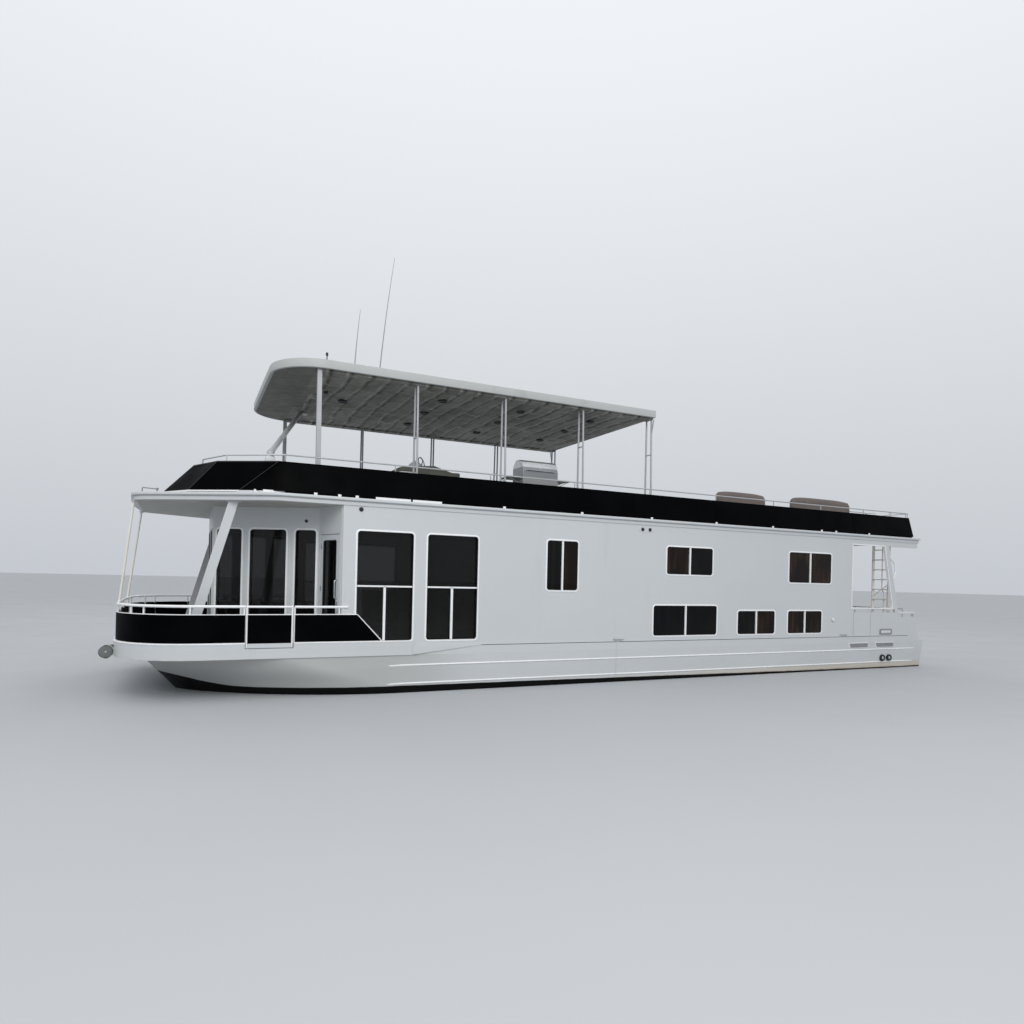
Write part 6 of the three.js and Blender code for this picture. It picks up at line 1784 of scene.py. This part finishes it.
# Drives
def sterndrives():
    x0 = at(DRIVE_PIN_STATION)
    y, shaft = DRIVE_Y, -0.52
    column = [(0, 0.044), (0.004, 0.048), (0.185, 0.048), (0.189, 0.044)]
    shape = Shape().turned((x0, y, -0.0597), column, 28)
    leg = []
    for z, front, back, half in ((0.112, 0.02, 0.26, 0.055), (0.02, 0.06, 0.31, 0.060),
                                 (-0.06, 0.11, 0.34, 0.052), (-0.20, 0.13, 0.355, 0.040),
                                 (-0.36, 0.15, 0.375, 0.036), (-0.52, 0.16, 0.40, 0.036)):
        row = []
        for t in arc_points(25)[:-1]:
            u = (front + back) / 2 + (back - front) / 2 * math.cos(t)
            v = half * math.copysign(abs(math.sin(t)) ** 0.8, math.sin(t))
            row.append((x0 - u, y + v, z))
        leg.append(row)
    shape.solid(leg)
    shape.plate([(x0 - 0.13, y - 0.06), (x0 - 0.30, y - 0.13), (x0 - 0.52, y - 0.12),
                 (x0 - 0.52, y + 0.12), (x0 - 0.30, y + 0.13), (x0 - 0.13, y + 0.06)], (-0.305, -0.290))
    torpedo = [(0, 0.006), (0.02, 0.03), (0.07, 0.052), (0.15, 0.060), (0.30, 0.058), (0.385, 0.050)]
    shape.lathe((x0 - 0.085, y, shaft), (-1, 0, 0), torpedo, 28)
    shape.side_plate([(DRIVE_PIN_STATION + 0.23, shaft), (DRIVE_PIN_STATION + 0.43, shaft),
                      (DRIVE_PIN_STATION + 0.41, shaft - 0.20), (DRIVE_PIN_STATION + 0.38, shaft - 0.228),
                      (DRIVE_PIN_STATION + 0.33, shaft - 0.22)], (y - 0.007, y + 0.007))
    both("drive_leg", shape, ENAMEL, "{side}_drive", stands_for="sterndrive", bevel=0.004)
    start = x0 - 0.4703
    profile = [(0, 0.05), (0.08, 0.05), (0.11, 0.044), (0.12, 0.03)]
    hub = Shape().lathe((start, y, shaft), (-1, 0, 0), profile, 28)
    for k in range(3):
        turn = Matrix.Translation((start - 0.06, y, shaft)) @ Matrix.Rotation(k * 2 * math.pi / 3, 4, "X")
        rows = []
        for j in range(9):
            r = 0.045 + 0.145 * j / 8
            pitch = math.radians(62 - 34 * j / 8)
            chord = 0.055 * (0.7 + 1.1 * math.sin(math.pi * (0.12 + 0.80 * j / 8))) * (0.35 if j == 8 else 1)
            half = 0.005 - 0.0035 * j / 8
            row = []
            for u, v in ((-1, 0), (-0.5, 1), (0.2, 1), (1, 0), (0.2, -0.4), (-0.5, -0.4)):
                a, b = u * chord, v * half
                row.append((a * math.cos(pitch) - b * math.sin(pitch),
                            a * math.sin(pitch) * 0.85 + b * math.cos(pitch), r))
            rows.append(row)
        hub.add(Shape().solid(rows).moved(turn))
    both("screw", hub, ENAMEL, "{side}_screw", stands_for="propeller", angle=50)


# Camera, lights and floor
def camera():
    data = bpy.data.cameras.new("photo_camera")
    data.sensor_width = 36.0
    data.lens = FOCAL_PIXELS / PHOTO_SIZE * data.sensor_width
    data.shift_y = (AXIS_ROW - PHOTO_SIZE / 2) / PHOTO_SIZE
    data.clip_end = 2000
    forward = Vector((-math.sin(CAMERA_YAW), -math.cos(CAMERA_YAW), 0.001))
    level = Vector((-math.cos(CAMERA_YAW), math.sin(CAMERA_YAW), 0))
    up = level.cross(forward)
    right = level * math.cos(CAMERA_ROLL) + up * math.sin(CAMERA_ROLL)
    rolled_up = up * math.cos(CAMERA_ROLL) - level * math.sin(CAMERA_ROLL)
    matrix = Matrix((right, rolled_up, -forward)).transposed().to_4x4()
    matrix.translation = CAMERA_PLACE
    thing = bpy.data.objects.new("photo_camera", data)
    thing.matrix_world = matrix
    bpy.context.scene.collection.objects.link(thing)
    bpy.context.scene.camera = thing


def area_light(name, place, aim, size, power, colour):
    data = bpy.data.lights.new(name, "AREA")
    data.shape, data.size, data.energy, data.color = "DISK", size, power, colour
    thing = bpy.data.objects.new(name, data)
    thing.location = place
    thing.rotation_euler = (Vector(aim) - Vector(place)).to_track_quat("-Z", "Y").to_euler()
    bpy.context.scene.collection.objects.link(thing)


def studio():
    scene = bpy.context.scene
    scene.view_settings.view_transform = "Standard"
    world = bpy.data.worlds.new("studio")
    scene.world = world
    world.use_nodes = True
    tree = world.node_tree
    place = node(tree, "ShaderNodeTexCoord").outputs["Generated"]
    up = node(tree, "ShaderNodeSeparateXYZ", {"Vector": place}).outputs["Z"]
    ramp = node(tree, "ShaderNodeValToRGB", {"Fac": up})
    stops = ramp.color_ramp.elements
    stops[0].position, stops[0].color = 0.0, (0.56, 0.59, 0.63, 1)
    stops[1].position, stops[1].color = 0.9, (1.0, 1.02, 1.05, 1)
    back = tree.nodes["Background"]
    tree.links.new(ramp.outputs["Color"], back.inputs["Color"])
    back.inputs["Strength"].default_value = 1.0
    area_light("port_softbox", (10, 22, 16), (0, 3, 2), 16, 2600, (1.0, 0.99, 0.98))
    area_light("starboard_softbox", (-8, -24, 18), (0, -3, 2), 16, 1500, (0.97, 0.99, 1.0))
    made = Finish("floor", IOR=1.3)
    made.paint(made.mix(made.noise(0.2, 2), (0.42, 0.435, 0.45), (0.45, 0.465, 0.48)))
    made.rough(made.noise(0.5, 2), 0.6, 0.75)
    mesh = bpy.data.meshes.new("studio_floor")
    mesh.from_pydata([(-400, -400, 0), (400, -400, 0), (400, 400, 0), (-400, 400, 0)], [], [(0, 1, 2, 3)])
    mesh.materials.append(made.material)
    thing = bpy.data.objects.new("studio_floor", mesh)
    scene.collection.objects.link(thing)


camera()
studio()
finish_frame()
hull()
strakes()
deck_edge()
deck_coverings()
bow_rail()
side_rails()
gates()
bow_rollers()
feet_and_brackets()
side_windows()
saloon_windows()
aft_windows()
saloon_inside()
doors()
upper_deck()
front_coaming()
side_coamings()
aft_coaming()
canopy()
canopy_frames()
canopy_brace()
antennas()
helm()
grill()
deck_locker()
sofas()
stern_ladder()
stern_rails()
stern_posts()
side_fittings()
roof_fittings()
sterndrives()
